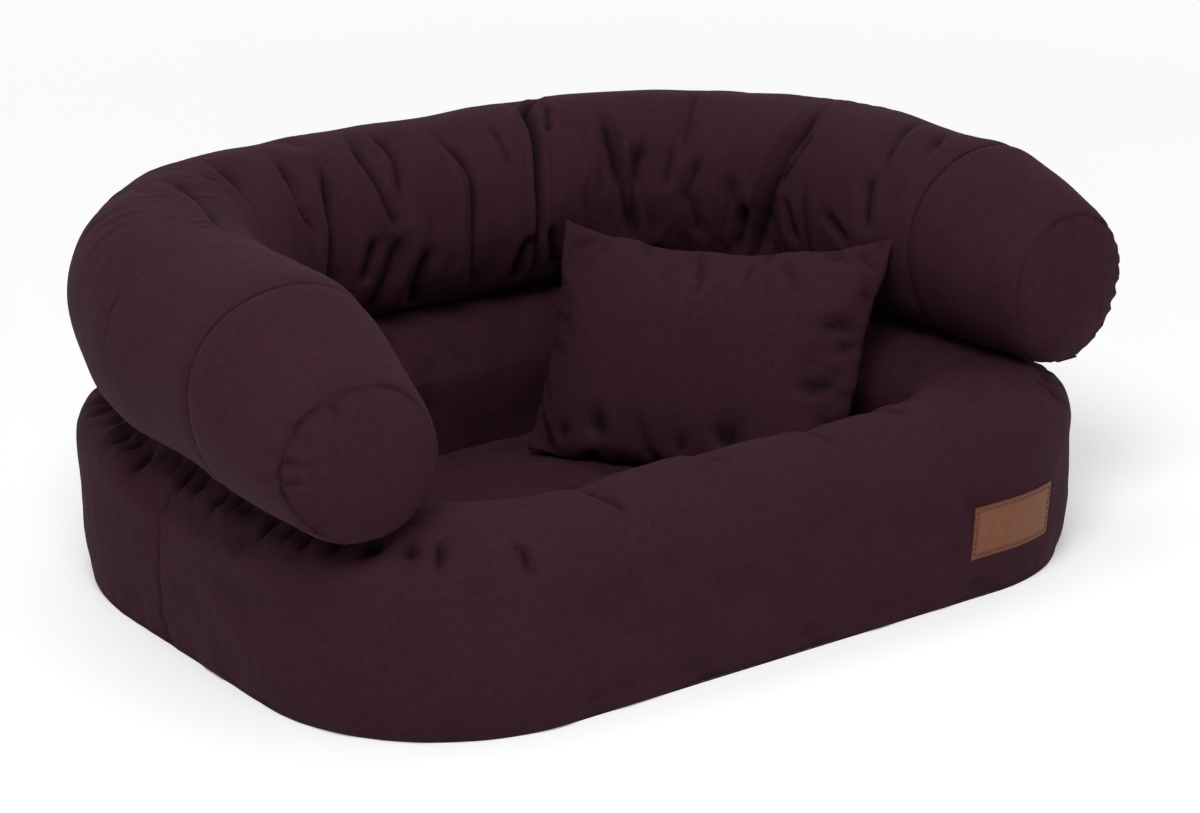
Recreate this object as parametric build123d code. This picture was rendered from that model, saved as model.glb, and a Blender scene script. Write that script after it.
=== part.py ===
from build123d import *
import math
import os

# A dog bed built like a small sofa. A padded wall stands on the floor round a sunken seat, and a
# stuffed roll on top of it makes the back and both arms. A seat cushion and a small pillow lie loose.
# Millimetres, +Z up, the open front towards -Y, the origin on the floor under the middle of the bed.

# Whole bed
overall_width = 800.0
overall_depth = 600.0

# Cloth and the small gaps between pieces
cover_thickness = 1.5
filling_gap = 0.6
rest_gap = 0.3
overrun = 5.0

# How finely curves are followed
search_steps = 40
side_steps = 3
bend_steps = 4
front_steps = 8
corner_steps = 6
back_steps = 4
label_steps = 6

# Bottom panel, a non-slip sheet
panel_thickness = 1.5

# Zips: tape, row of teeth, slider and pull tab
tape_thickness = 0.8
tape_width = 22.0
tape_end = 4.0
teeth_width = 5.0
teeth_height = 2.0
tooth_pitch = 4.0
tooth_share = 0.55
teeth_cord_width = 1.6
stop_length = 3.0
slider_length = 10.0
slider_wall = 1.7
slider_top = 1.6
slider_gap = 0.2
pin_radius = 0.8
pin_gap = 0.15
eye_radius = 1.7
eye_width = 3.2
eye_gap = 0.3
post_thickness = 1.2
post_length = 3.0
pull_length = 24.0
pull_width = 6.5
pull_thickness = 1.2
pull_neck = 4.5
pull_hole_radius = 1.6
slot_gap = 0.3

# Padded wall
wall_height = 149.0
arm_overhang = 38.0
wall_front_corner_radius = 160.0
wall_back_corner_radius = 235.0
wall_base_draw = 7.0
wall_crown_drop = 13.0
crown_reach_share = 0.78
side_seam_y = -10.0
side_seam_draw = 2.0
wall_zip_height = 78.0
wall_zip_length = 220.0

# Well inside the wall, where the seat cushion lies
well_half_width = 232.0
well_front_depth = 98.5
well_back_radius = 130.0
well_front_radius = 84.0
well_clearance = 2.0

# Crest line of the wall, which carries the roll
crest_side_setback = 49.0
crest_front_setback = 48.5
crest_back_setback = 81.0
crest_front_radius = 112.0
crest_back_radius = 208.0

# Roll that makes the back and the arms
roll_radius = 79.0
cap_radius = 62.0
cap_setback = 64.0
cap_seam_length = 104.0
cap_dome = 12.0
arm_swell = 3.0
arm_swell_shares = ((1.0, 0.0), (0.75, 0.7), (0.5, 1.0), (0.25, 0.8), (0.0, 0.0))
ring_seam_draw = 2.0
ring_seam_run = 14.0
roll_flat = 3.0
joining_tape_width = 22.0
joining_tape_thickness = 1.2
roll_zip_length = 180.0
gather_depth = 10.0
gather_depth_shares = (0.5, 0.8, 1.0, 0.7, 0.9, 1.0, 0.8, 1.0, 0.9, 0.7, 0.9, 0.5)

# Seat cushion
seat_edge_height = 42.0
seat_crown = 15.0
seat_side_draw = 10.0
seat_end_round = 14.0
seat_seam_drop = 3.0
seat_thinning_share = 0.8
seat_crown_fall_share = 0.8
seat_station_shares = (1.0, 0.99, 0.965, 0.93, 0.87, 0.8, 0.7, 0.55, 0.3)
seat_zip_length = 200.0
seat_zip_depth = 4.6

# Pillow, turned to face the corner of the bed and leaning back
pillow_width = 270.0
pillow_height = 198.0
pillow_thickness = 86.0
pillow_edge = 4.0
pillow_top_draw = 12.0
pillow_side_draw = 9.0
pillow_fullness_power = 0.75
pillow_station_shares = (1.0, 0.94, 0.85, 0.7, 0.5, 0.25)
pillow_rest_share = 0.88
pillow_centre_x = 82.0
pillow_centre_y = -54.0
pillow_turn = -56.0
pillow_lean = 29.0

# Label, a plain patch sewn to the front
label_width = 90.0
label_height = 43.0
label_thickness = 1.5
label_centre_x = 214.0
label_centre_z = 57.0
label_backing = 0.8
stitch_length = 2.4
stitch_pitch = 4.0
stitch_width = 0.7
stitch_stand = 0.3
stitch_gap = 0.2
stitch_margin = 3.0

# Sizes worked out from the ones above
half_width = overall_width / 2
half_depth = overall_depth / 2
teeth_top = tape_thickness + teeth_height
slider_roof = teeth_top + slider_gap + slider_top
slider_width = teeth_width + 2 * (slider_gap + slider_wall)
pin_height = slider_roof + eye_gap + eye_radius
zip_sink = cover_thickness
zip_stand = pin_height + eye_radius - zip_sink
filling_slot = filling_gap + slot_gap

wall_half_width = half_width - arm_overhang
wall_front = label_backing + label_thickness + stitch_gap + stitch_stand - half_depth
wall_back = half_depth - zip_stand
well_front = wall_front + well_front_depth
crest_half_width = wall_half_width - crest_side_setback
crest_front = wall_front + crest_front_setback
crest_back = wall_back - crest_back_setback
well_back = crest_back - roll_radius - rest_gap
wall_outline = (wall_half_width, wall_front, wall_back, wall_front_corner_radius, wall_back_corner_radius)
well_outline = (well_half_width, well_front, well_back, well_front_radius, well_back_radius)

roll_seat = wall_height + joining_tape_thickness
roll_base = roll_seat - roll_flat
cap_y = wall_front + cap_setback
ring_seam_y = cap_y + cap_seam_length
corner_y = crest_back - crest_back_radius
corner_x = crest_half_width - crest_back_radius
seam_x = half_width - roll_radius
corner_run = math.pi / 2 * crest_back_radius
back_run = 2 * corner_run + 2 * corner_x

seat_base = panel_thickness + rest_gap
seat_half_width = well_half_width - well_clearance
seat_front = well_front + well_clearance
seat_back = well_back - well_clearance
seat_front_radius = well_front_radius - well_clearance
seat_back_radius = well_back_radius - well_clearance
pillow_base = seat_edge_height + seat_crown * pillow_rest_share + rest_gap + pillow_edge / 2

UP = Vector(0, 0, 1)


def heading(degrees):
    angle = math.radians(degrees)
    return Vector(math.cos(angle), math.sin(angle), 0)


def outline_distance(outline, x, y):
    """Distance from a point to a rounded rectangle, below zero inside it."""
    half, front, back, front_radius, back_radius = outline
    if y < (front + back) / 2:
        radius = front_radius
        over_y = front + radius - y
    else:
        radius = back_radius
        over_y = y - back + radius
    over_x = abs(x) - half + radius
    outside = math.hypot(max(over_x, 0), max(over_y, 0))
    return outside + min(max(over_x, over_y), 0) - radius


def reach(outline, x, y, facing, furthest):
    """How far the outline lies from a point, looking level along a heading."""
    look = heading(facing)
    near, far = 0.0, furthest
    starts_inside = outline_distance(outline, x, y) < 0
    for _ in range(search_steps):
        middle = (near + far) / 2
        inside = outline_distance(outline, x + look.X * middle, y + look.Y * middle) < 0
        if inside == starts_inside:
            near = middle
        else:
            far = middle
    return near


def upright_plane(x, y, facing):
    """A standing plane whose own x points along the heading and whose own y is up."""
    outward = heading(facing)
    return Plane(origin=(x, y, 0), x_dir=outward, z_dir=outward.cross(UP))


# Padded wall

def wall_reach(x, y, facing, side):
    """Half of the wall's thickness on its outer side (1) or its inner side (-1)."""
    if side > 0:
        return reach(wall_outline, x, y, facing, half_width)
    return reach(well_outline, x, y, facing + 180, (well_back - well_front) / 2)


def wall_section(x, y, facing, trim, draw=0.0):
    """Flat foot, bellied sides and a crest that is flat where the roll sits on it."""
    top = wall_height - trim
    bottom = panel_thickness + trim
    flat = joining_tape_width / 2
    edges = []
    for side in (1, -1):
        out = wall_reach(x, y, facing, side) - trim - draw
        shoulder_u = crown_reach_share * out
        slope = 2 * math.atan(wall_crown_drop / (shoulder_u - flat))
        drop = (out - shoulder_u) * math.tan((slope + math.pi / 2) / 2)
        shoulder = (side * shoulder_u, top - wall_crown_drop)
        belly = (side * out, top - wall_crown_drop - drop)
        foot = (side * (out - wall_base_draw), bottom)
        crown = TangentArc((side * flat, top), shoulder, tangent=(side, 0))
        edges.append([crown, TangentArc(shoulder, belly, tangent=crown % 1)])
        edges[-1].append(TangentArc(belly, foot, tangent=(0, -1)))
    right, left = edges
    crest = Line((-flat, top), (flat, top))
    sole = Line(right[-1] @ 1, left[-1] @ 1)
    return upright_plane(x, y, facing) * make_face([crest, *right, sole, *left])


def crest_corner(centre_x, centre_y, radius, start, end, steps):
    stops = []
    for step in range(steps + 1):
        facing = start + (end - start) * step / steps
        look = heading(facing)
        stops.append((centre_x + radius * look.X, centre_y + radius * look.Y, facing))
    return stops


def crest_run(start, end, facing, steps):
    return [
        (start[0] + (end[0] - start[0]) * step / steps, start[1] + (end[1] - start[1]) * step / steps, facing)
        for step in range(1, steps)
    ]


def front_crest():
    """Stations on the crest line from the left side seam round the front to the right one."""
    bend_x = crest_half_width - crest_front_radius
    bend_y = crest_front + crest_front_radius
    left = (-crest_half_width, side_seam_y)
    right = (crest_half_width, side_seam_y)
    stops = [(left[0], left[1], 180)]
    stops += crest_run(left, (-crest_half_width, bend_y), 180, side_steps)
    stops += crest_corner(-bend_x, bend_y, crest_front_radius, 180, 270, bend_steps)
    stops += crest_run((-bend_x, crest_front), (bend_x, crest_front), 270, front_steps)
    stops += crest_corner(bend_x, bend_y, crest_front_radius, 270, 360, bend_steps)
    stops += crest_run((crest_half_width, bend_y), right, 360, side_steps)
    stops.append((right[0], right[1], 360))
    return stops


def rear_crest():
    """Stations on the crest line from the left side seam round the back to the right one."""
    left = (-crest_half_width, side_seam_y)
    right = (crest_half_width, side_seam_y)
    stops = [(left[0], left[1], 180)]
    stops += crest_corner(-corner_x, corner_y, crest_back_radius, 180, 90, corner_steps)
    stops += crest_run((-corner_x, crest_back), (corner_x, crest_back), 90, back_steps)
    stops += crest_corner(corner_x, corner_y, crest_back_radius, 90, 0, corner_steps)
    stops.append((right[0], right[1], 0))
    return stops


def wall_wires(stops, trim):
    """Outlines of half of the wall, drawn in at its side seams."""
    last = len(stops) - 1
    wires = []
    for index, (x, y, facing) in enumerate(stops):
        draw = side_seam_draw if index in (0, last) else 0.0
        wires.append(wall_section(x, y, facing, trim, draw).wire())
    return wires


def sleeve(outer_wires, inner_wires):
    """Tube of cloth between two rows of outlines, open at both ends."""
    faces = Shell.make_loft(outer_wires).faces() + Shell.make_loft(inner_wires).faces()
    for end in (0, -1):
        faces.append(Face(outer_wires[end], [inner_wires[end]]))
    return Solid(Shell(faces))


def wall_cover(stops):
    return sleeve(wall_wires(stops, 0.0), wall_wires(stops, cover_thickness))


def wall_filling():
    """Stuffing of the wall, one closed ring."""
    trim = cover_thickness + filling_gap
    faces = Shell.make_loft(wall_wires(front_crest(), trim)).faces()
    faces += Shell.make_loft(wall_wires(rear_crest(), trim)).faces()
    return Solid(Shell(faces))


def bottom_panel():
    half = wall_half_width - wall_base_draw
    front = wall_front + wall_base_draw
    back = wall_back - wall_base_draw
    front_radius = wall_front_corner_radius - wall_base_draw
    back_radius = wall_back_corner_radius - wall_base_draw
    sheet = Pos(0, (front + back) / 2) * Rectangle(2 * half, back - front)
    corners = sheet.vertices().sort_by(Axis.Y)
    sheet = fillet(corners[:2], front_radius)
    corners = sheet.vertices().sort_by(Axis.Y)
    sheet = fillet(corners[-2:], back_radius)
    return extrude(sheet, panel_thickness)


# Roll

def roll_section(x, y, facing, radius, trim, sink=0.0):
    """Round section, flat below, that keeps its outer line while its inner side sinks."""
    inner = radius - sink / 2 - trim
    centre = Vector(sink / 2, roll_base + radius - sink / 2)
    floor = centre.Y - roll_seat - trim
    half_flat = math.sqrt(inner ** 2 - floor ** 2)
    low = math.atan2(-floor, half_flat)
    turns = (low, low / 2, 0, math.pi / 4, math.pi / 2)
    right = [centre + Vector(inner * math.cos(turn), inner * math.sin(turn)) for turn in turns]
    left = [Vector(2 * centre.X - point.X, point.Y) for point in reversed(right)]
    edges = [ThreePointArc(*side[start:start + 3]) for side in (right, left) for start in (0, 2)]
    edges.append(Line(left[-1], right[0]))
    return upright_plane(x, y, facing) * make_face(edges)


def arm_heading():
    """Unit vector along the right arm, from the corner towards its cap."""
    run = Vector(seam_x - crest_half_width, ring_seam_y - corner_y, 0)
    return run.normalized()


def arm_point(past_seam):
    """Point on the right arm's centre line, so far past the ring seam towards the cap."""
    spot = Vector(seam_x, ring_seam_y, 0) + arm_heading() * past_seam
    facing = math.degrees(math.atan2(arm_heading().X, -arm_heading().Y))
    return spot.X, spot.Y, facing


def arm_length():
    return (ring_seam_y - cap_y) / -arm_heading().Y


def arm_stops():
    """Right arm from the cap to the ring seam: position, heading and radius."""
    taper = roll_radius - ring_seam_draw - cap_radius
    stops = []
    for share, swell_share in arm_swell_shares:
        radius = cap_radius + taper * (1 - share) + arm_swell * swell_share
        stops.append((*arm_point(arm_length() * share), radius, 0.0))
    return stops


def flank_stops():
    """Right arm from the ring seam to the corner, outside the corner itself."""
    to_corner = (corner_y - ring_seam_y) / -arm_heading().Y
    stops = [(*arm_point(0.0), roll_radius - ring_seam_draw, 0.0)]
    stops.append((*arm_point(-ring_seam_run), roll_radius, 0.0))
    stops.append((*arm_point(-to_corner / 2), roll_radius, 0.0))
    return stops


def back_point(run):
    """Point and heading on the roll's centre line, measured from the right corner's start."""
    if run <= corner_run:
        facing = 90 * run / corner_run
        look = heading(facing) * crest_back_radius
        return corner_x + look.X, corner_y + look.Y, facing
    if run <= corner_run + 2 * corner_x:
        return corner_x - (run - corner_run), crest_back, 90
    facing = 90 + 90 * (run - corner_run - 2 * corner_x) / corner_run
    look = heading(facing) * crest_back_radius
    return -corner_x + look.X, corner_y + look.Y, facing


def back_stops():
    """Gathered back and corners: ridges with a sunk station between each two."""
    count = 2 * len(gather_depth_shares)
    stops = []
    for index in range(count + 1):
        sink = 0.0
        if index % 2:
            sink = gather_depth * gather_depth_shares[index // 2]
        stops.append((*back_point(back_run * index / count), roll_radius, sink))
    return stops


def mirrored(stops):
    return [(-x, y, 180 - facing, radius, sink) for x, y, facing, radius, sink in reversed(stops)]


def middle_stops():
    return flank_stops() + back_stops() + mirrored(flank_stops())


def roll_sections(stops, trim):
    return [roll_section(x, y, facing, radius, trim, sink) for x, y, facing, radius, sink in stops]


def above(form, height):
    return split(form, bisect_by=Plane.XY.offset(height), keep=Keep.TOP)


def cap_form(trim):
    """Domed end of the right arm."""
    radius = cap_radius - trim
    rise = cap_dome - trim
    bend = (radius ** 2 + rise ** 2) / (2 * rise)
    lean = math.asin(radius / bend) / 2
    middle = (bend * math.sin(lean), bend * math.cos(lean) - bend + rise)
    edges = [
        Line((0, 0), (radius, 0)),
        ThreePointArc((radius, 0), middle, (0, rise)),
        Line((0, rise), (0, 0)),
    ]
    dome = revolve(Plane.XZ * make_face(edges), Axis.Z)
    x, y, _ = arm_point(arm_length())
    end = Plane(origin=(x, y, roll_base + cap_radius), z_dir=arm_heading())
    return end * dome


def roll_filling():
    """Stuffing of the whole roll from one cap to the other."""
    trim = cover_thickness + filling_gap
    end = above(cap_form(trim), roll_seat + trim)
    arm = loft(roll_sections(arm_stops(), trim)) + end
    return loft(roll_sections(middle_stops(), trim)) + arm + mirror(arm, Plane.YZ)


def roll_sleeve(stops):
    """One tube of cloth between two ring seams."""
    outer = [section.wire() for section in roll_sections(stops, 0.0)]
    inner = [section.wire() for section in roll_sections(stops, cover_thickness)]
    return sleeve(outer, inner)


def right_cap():
    skin = above(cap_form(0.0), roll_seat)
    hollow = above(cap_form(cover_thickness), roll_seat + cover_thickness)
    return skin - hollow


def joining_tape():
    """Strip that is sewn to the wall's crest and to the underside of the roll."""
    half = joining_tape_width / 2
    x, y, _ = arm_point(arm_length())
    bend = crest_half_width
    look = arm_heading()
    across = Vector(look.Y, -look.X, 0) * -half
    arm = make_face(Polyline(
        Vector(x, y) + across, Vector(x, y) - across,
        Vector(bend, corner_y) - across, Vector(bend, corner_y) + across, close=True))
    ring = Circle(crest_back_radius + half) - Circle(crest_back_radius - half)
    quarter = Pos(corner_x, corner_y) * (ring & Pos(crest_back_radius, crest_back_radius) * Rectangle(
        2 * crest_back_radius, 2 * crest_back_radius))
    side = arm + quarter
    across_back = Pos(0, crest_back) * Rectangle(2 * corner_x, joining_tape_width)
    strip = side + mirror(side, Plane.YZ) + across_back
    return Pos(0, 0, wall_height) * extrude(strip, joining_tape_thickness)


# Seat cushion

def stations(half, shares):
    """Places for sections from one side to the other, closer together near the sides."""
    return [-half * share for share in shares] + [0.0] + [half * share for share in reversed(shares)]


def seat_section(x, trim):
    """Section across the cushion from front to back, at one place along its width."""
    half = seat_half_width - trim
    ends = []
    for edge, radius, side in ((seat_front, seat_front_radius, 1), (seat_back, seat_back_radius, -1)):
        radius -= trim
        past = max(abs(x) - half + radius, 0)
        ends.append(edge + side * (trim + radius - math.sqrt(radius ** 2 - past ** 2)))
    front, back = ends
    near_end = max(seat_end_round - (half - abs(x)), 0) / seat_end_round
    fullness = math.sqrt(1 - (seat_thinning_share * near_end) ** 2)
    bottom = seat_base + trim
    top = seat_edge_height - trim
    middle = (bottom + top) / 2
    top = middle + (top - middle) * fullness
    bottom = middle - (middle - bottom) * fullness
    draw = seat_side_draw * fullness
    crown = seat_crown * (1 - seat_crown_fall_share * (x / seat_half_width) ** 2) * fullness
    edges = [
        Line((front + draw, bottom), (back - draw, bottom)),
        ThreePointArc((back - draw, bottom), (back, middle), (back - draw, top)),
        ThreePointArc((back - draw, top), ((front + back) / 2, top + crown), (front + draw, top)),
        ThreePointArc((front + draw, top), (front, middle), (front + draw, bottom)),
    ]
    return Plane(origin=(x, 0, 0), x_dir=(0, 1, 0), z_dir=(1, 0, 0)) * make_face(edges)


def seat_form(trim):
    half = seat_half_width - trim
    return loft([seat_section(x, trim) for x in stations(half, seat_station_shares)])


def seat_zip_plane():
    """Rear border of the seat cushion, low down where the wall draws away from it."""
    y = seat_back - seat_zip_depth - zip_sink
    return Plane(origin=(0, y, (seat_base + seat_edge_height) / 2), x_dir=(-1, 0, 0), z_dir=(0, 1, 0))


# Pillow

def pillow_plane():
    """The pillow's own frame: x along its width, y up its height, z out of its front."""
    along = heading(pillow_turn)
    behind = along.cross(UP) * -1
    lean = math.radians(pillow_lean)
    up = UP * math.cos(lean) + behind * math.sin(lean)
    return Plane(origin=(pillow_centre_x, pillow_centre_y, pillow_base), x_dir=along, z_dir=along.cross(up))


def pillow_section(x, trim):
    half = pillow_width / 2
    spread = 1 - (abs(x) / half) ** 2
    bulge = (pillow_thickness - pillow_edge) / 2 * spread ** pillow_fullness_power + pillow_edge / 2 - trim
    bulge = max(bulge, pillow_edge / 2)
    edge = pillow_edge / 2 - trim / 2
    bottom = trim
    top = pillow_height - trim
    middle = (bottom + top) / 2
    edges = [
        Line((-edge, bottom), (edge, bottom)),
        ThreePointArc((edge, bottom), (edge + bulge, middle), (edge, top)),
        Line((edge, top), (-edge, top)),
        ThreePointArc((-edge, top), (-edge - bulge, middle), (-edge, bottom)),
    ]
    return Plane(origin=(x, 0, 0), x_dir=(0, 0, 1), z_dir=(-1, 0, 0)) * make_face(edges)


def pillow_outline(trim):
    """Front view with sides drawn in between pointed corners."""
    half = pillow_width / 2 - trim
    bottom = trim
    top = pillow_height - trim
    middle = (bottom + top) / 2
    edges = [
        Line((-half, bottom), (half, bottom)),
        ThreePointArc((half, bottom), (half - pillow_side_draw, middle), (half, top)),
        ThreePointArc((half, top), (0, top - pillow_top_draw), (-half, top)),
        ThreePointArc((-half, top), (pillow_side_draw - half, middle), (-half, bottom)),
    ]
    return make_face(edges)


def pillow_form(trim):
    half = pillow_width / 2
    lens = loft([pillow_section(x, trim) for x in stations(half, pillow_station_shares)])
    prism = extrude(pillow_outline(trim), pillow_thickness, both=True)
    return lens & prism


# Label

def label_stop(run):
    """Station on the crest line that faces a place on the patch, so far from the patch's left edge."""
    x = label_centre_x - label_width / 2 + run
    bend_x = crest_half_width - crest_front_radius
    if x <= bend_x:
        return x, crest_front, 270
    facing = 270 + math.degrees((x - bend_x) / wall_front_corner_radius)
    look = heading(facing) * crest_front_radius
    return bend_x + look.X, crest_front + crest_front_radius + look.Y, facing


def front_face(x, y, facing):
    """Radius, centre distance and centre height of the wall's lower outer side at a station."""
    out = wall_reach(x, y, facing, 1)
    shoulder_u = crown_reach_share * out
    slope = 2 * math.atan(wall_crown_drop / (shoulder_u - joining_tape_width / 2))
    belly = wall_height - wall_crown_drop - (out - shoulder_u) * math.tan((slope + math.pi / 2) / 2)
    fall = belly - panel_thickness
    radius = (fall ** 2 + wall_base_draw ** 2) / (2 * wall_base_draw)
    return radius, out - radius, belly


def label_section(run):
    x, y, facing = label_stop(run)
    radius, centre, belly = front_face(x, y, facing)
    rows = []
    for stand in (label_backing, label_backing + label_thickness):
        row = []
        for place in (-1, 0, 1):
            height = label_centre_z + place * label_height / 2
            tilt = math.asin((height - belly) / radius)
            around = radius + stand
            row.append((centre + around * math.cos(tilt), belly + around * math.sin(tilt)))
        rows.append(row)
    inner, outer = rows
    edges = [
        ThreePointArc(*inner),
        Line(inner[-1], outer[-1]),
        ThreePointArc(*reversed(outer)),
        Line(outer[0], inner[0]),
    ]
    return upright_plane(x, y, facing) * make_face(edges)


def label_patch():
    return loft([label_section(label_width * step / label_steps) for step in range(label_steps + 1)])


def stitch(run, height, across):
    """One raised stitch that lies on the patch, level or upright."""
    x, y, facing = label_stop(run)
    radius, centre, belly = front_face(x, y, facing)
    tilt = math.asin((height - belly) / radius)
    stand = radius + label_backing + label_thickness + stitch_gap + stitch_stand / 2
    out = centre + stand * math.cos(tilt)
    look = heading(facing)
    outward = look * math.cos(tilt) + UP * math.sin(tilt)
    spot = Vector(x, y, belly + stand * math.sin(tilt)) + look * out
    along = look.cross(UP)
    size = (stitch_length, stitch_width) if across else (stitch_width, stitch_length)
    return Plane(origin=spot, x_dir=along, z_dir=outward) * Box(*size, stitch_stand)


def label_stitching():
    """Rows of stitches just inside the patch's edge."""
    wide = label_width - 2 * stitch_margin
    high = label_height - 2 * stitch_margin
    across = int(wide / stitch_pitch)
    up = int(high / stitch_pitch)
    marks = []
    for side in (-1, 1):
        for index in range(across):
            run = label_width / 2 + (index - (across - 1) / 2) * wide / across
            marks.append(stitch(run, label_centre_z + side * high / 2, True))
        for index in range(up):
            height = label_centre_z + (index - (up - 1) / 2) * high / up
            marks.append(stitch(label_width / 2 + side * wide / 2, height, False))
    return Compound([solid for mark in marks for solid in mark.solids()])


# Zips, each laid out along its own x with z standing out of the cloth

def zip_tape(length):
    return Pos(0, 0, tape_thickness / 2) * Box(length, tape_width, tape_thickness)


def zip_teeth(length):
    """Row of teeth that mesh from both sides, with a stop at each end."""
    run = length - 2 * tape_end
    count = int(run / tooth_pitch)
    tooth = Rectangle(tooth_pitch * tooth_share, teeth_width / 2)
    pieces = []
    for index in range(count):
        x = (index - (count - 1) / 2) * tooth_pitch
        side = 1 if index % 2 else -1
        pieces.append(Pos(x, side * teeth_width / 4) * tooth)
    for side in (-1, 1):
        pieces.append(Pos(side * (run - stop_length) / 2, 0) * Rectangle(stop_length, teeth_width))
    row = Rectangle(run, teeth_cord_width) + pieces
    return Pos(0, 0, tape_thickness) * extrude(row, teeth_height)


def slider_start(length):
    return length / 2 - tape_end - stop_length - slider_length / 2


def zip_slider(length, with_loop):
    """Channel that rides over the teeth, at the closed end of the zip."""
    floor = tape_thickness + slider_gap
    block = Pos(0, 0, (floor + slider_roof) / 2) * Box(slider_length, slider_width, slider_roof - floor)
    block = fillet(block.edges().filter_by(Axis.Z), slider_wall)
    groove_top = teeth_top + slider_gap
    groove = Pos(0, 0, groove_top / 2) * Box(
        slider_length + 2 * overrun, teeth_width + 2 * slider_gap, groove_top)
    slider = block - groove
    if with_loop:
        post_y = eye_width / 2 + eye_gap + post_thickness / 2
        post_top = pin_height + pin_radius
        for side in (-1, 1):
            slider += Pos(0, side * post_y, (slider_roof + post_top) / 2) * Box(
                post_length, post_thickness, post_top - slider_roof)
        pin = Cylinder(pin_radius, 2 * post_y)
        slider += Pos(0, 0, pin_height) * Rot(90, 0, 0) * pin
    return Pos(slider_start(length), 0, 0) * slider


def zip_pull(length):
    """Tab that hangs on the slider's pin and lies flat along the zip."""
    eye = Rot(90, 0, 0) * Cylinder(eye_radius, eye_width)
    neck = Pos(-pull_neck / 2, 0, 0) * Box(pull_neck, eye_width, pull_thickness)
    blade_length = pull_length - pull_neck
    blade = Pos(-pull_neck - blade_length / 2, 0, 0) * Box(blade_length, pull_width, pull_thickness)
    blade = fillet(blade.edges().filter_by(Axis.Z), pull_hole_radius)
    hole = Pos(-pull_length + pull_width / 2, 0, 0) * Cylinder(pull_hole_radius, 2 * pull_thickness)
    bore = Rot(90, 0, 0) * Cylinder(pin_radius + pin_gap, 2 * eye_width)
    pull = eye + neck + blade - hole - bore
    return Pos(slider_start(length), 0, pin_height) * pull


def zip_slot(length, behind):
    """Opening in the cloth and hollow in the filling that a zip lies in."""
    return Pos(0, 0, pin_height / 2 - behind / 2) * Box(
        length + 2 * slot_gap, tape_width + 2 * slot_gap, pin_height + behind)


def roll_zip_plane():
    """Rear of the roll, halfway up."""
    y = crest_back + roll_radius - zip_sink
    return Plane(origin=(0, y, roll_base + roll_radius), x_dir=(-1, 0, 0), z_dir=(0, 1, 0))


def wall_zip_plane():
    """Rear of the wall, low down, where its face stands almost upright."""
    return Plane(origin=(0, wall_back - zip_sink, wall_zip_height), x_dir=(-1, 0, 0), z_dir=(0, 1, 0))


def slotted(form, plane, length, behind=slot_gap):
    return form - plane * zip_slot(length, behind)


# Bed, put together

def build():
    parts = {}
    parts["bottom_panel"] = bottom_panel()
    wall_zip = wall_zip_plane()
    parts["wall_filling"] = slotted(wall_filling(), wall_zip, wall_zip_length, filling_slot)
    parts["wall_front_cover"] = wall_cover(front_crest())
    parts["wall_rear_cover"] = slotted(wall_cover(rear_crest()), wall_zip, wall_zip_length)

    roll_zip = roll_zip_plane()
    trim = cover_thickness + filling_gap
    parts["bolster_filling"] = slotted(roll_filling(), roll_zip, roll_zip_length, filling_slot)
    parts["bolster_back_cover"] = slotted(roll_sleeve(middle_stops()), roll_zip, roll_zip_length)
    parts["bolster_right_arm_cover"] = roll_sleeve(arm_stops())
    parts["bolster_left_arm_cover"] = mirror(parts["bolster_right_arm_cover"], Plane.YZ)
    parts["bolster_right_end_cap"] = right_cap()
    parts["bolster_left_end_cap"] = mirror(parts["bolster_right_end_cap"], Plane.YZ)
    parts["joining_tape"] = joining_tape()

    seat_zip = seat_zip_plane()
    seat_shell = seat_form(0.0) - seat_form(cover_thickness)
    top_seam = Plane.XY.offset(seat_edge_height - seat_seam_drop)
    low_seam = Plane.XY.offset(seat_base + seat_seam_drop)
    parts["seat_top_cover"] = split(seat_shell, bisect_by=top_seam, keep=Keep.TOP)
    rest = split(seat_shell, bisect_by=top_seam, keep=Keep.BOTTOM)
    border = split(rest, bisect_by=low_seam, keep=Keep.TOP)
    parts["seat_border"] = slotted(border, seat_zip, seat_zip_length)
    parts["seat_bottom_cover"] = split(rest, bisect_by=low_seam, keep=Keep.BOTTOM)
    parts["seat_filling"] = slotted(seat_form(trim), seat_zip, seat_zip_length, filling_slot)

    seam = pillow_plane()
    pillow_shell = seam * (pillow_form(0.0) - pillow_form(cover_thickness))
    parts["pillow_front_cover"] = split(pillow_shell, bisect_by=seam, keep=Keep.TOP)
    parts["pillow_back_cover"] = split(pillow_shell, bisect_by=seam, keep=Keep.BOTTOM)
    parts["pillow_filling"] = seam * pillow_form(trim)

    parts["label_patch"] = label_patch()
    parts["label_stitching"] = label_stitching()

    for name, plane, length, with_loop in (
        ("bolster_zip", roll_zip, roll_zip_length, True),
        ("wall_zip", wall_zip, wall_zip_length, True),
        ("seat_zip", seat_zip, seat_zip_length, False),
    ):
        parts[name + "_tape"] = plane * zip_tape(length)
        parts[name + "_teeth"] = plane * zip_teeth(length)
        parts[name + "_slider"] = plane * zip_slider(length, with_loop)
        if with_loop:
            parts[name + "_pull"] = plane * zip_pull(length)
    return parts


os.makedirs("parts", exist_ok=True)
for node, shape in build().items():
    export_step(shape, "parts/" + node + ".step")
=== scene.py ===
import math

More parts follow.
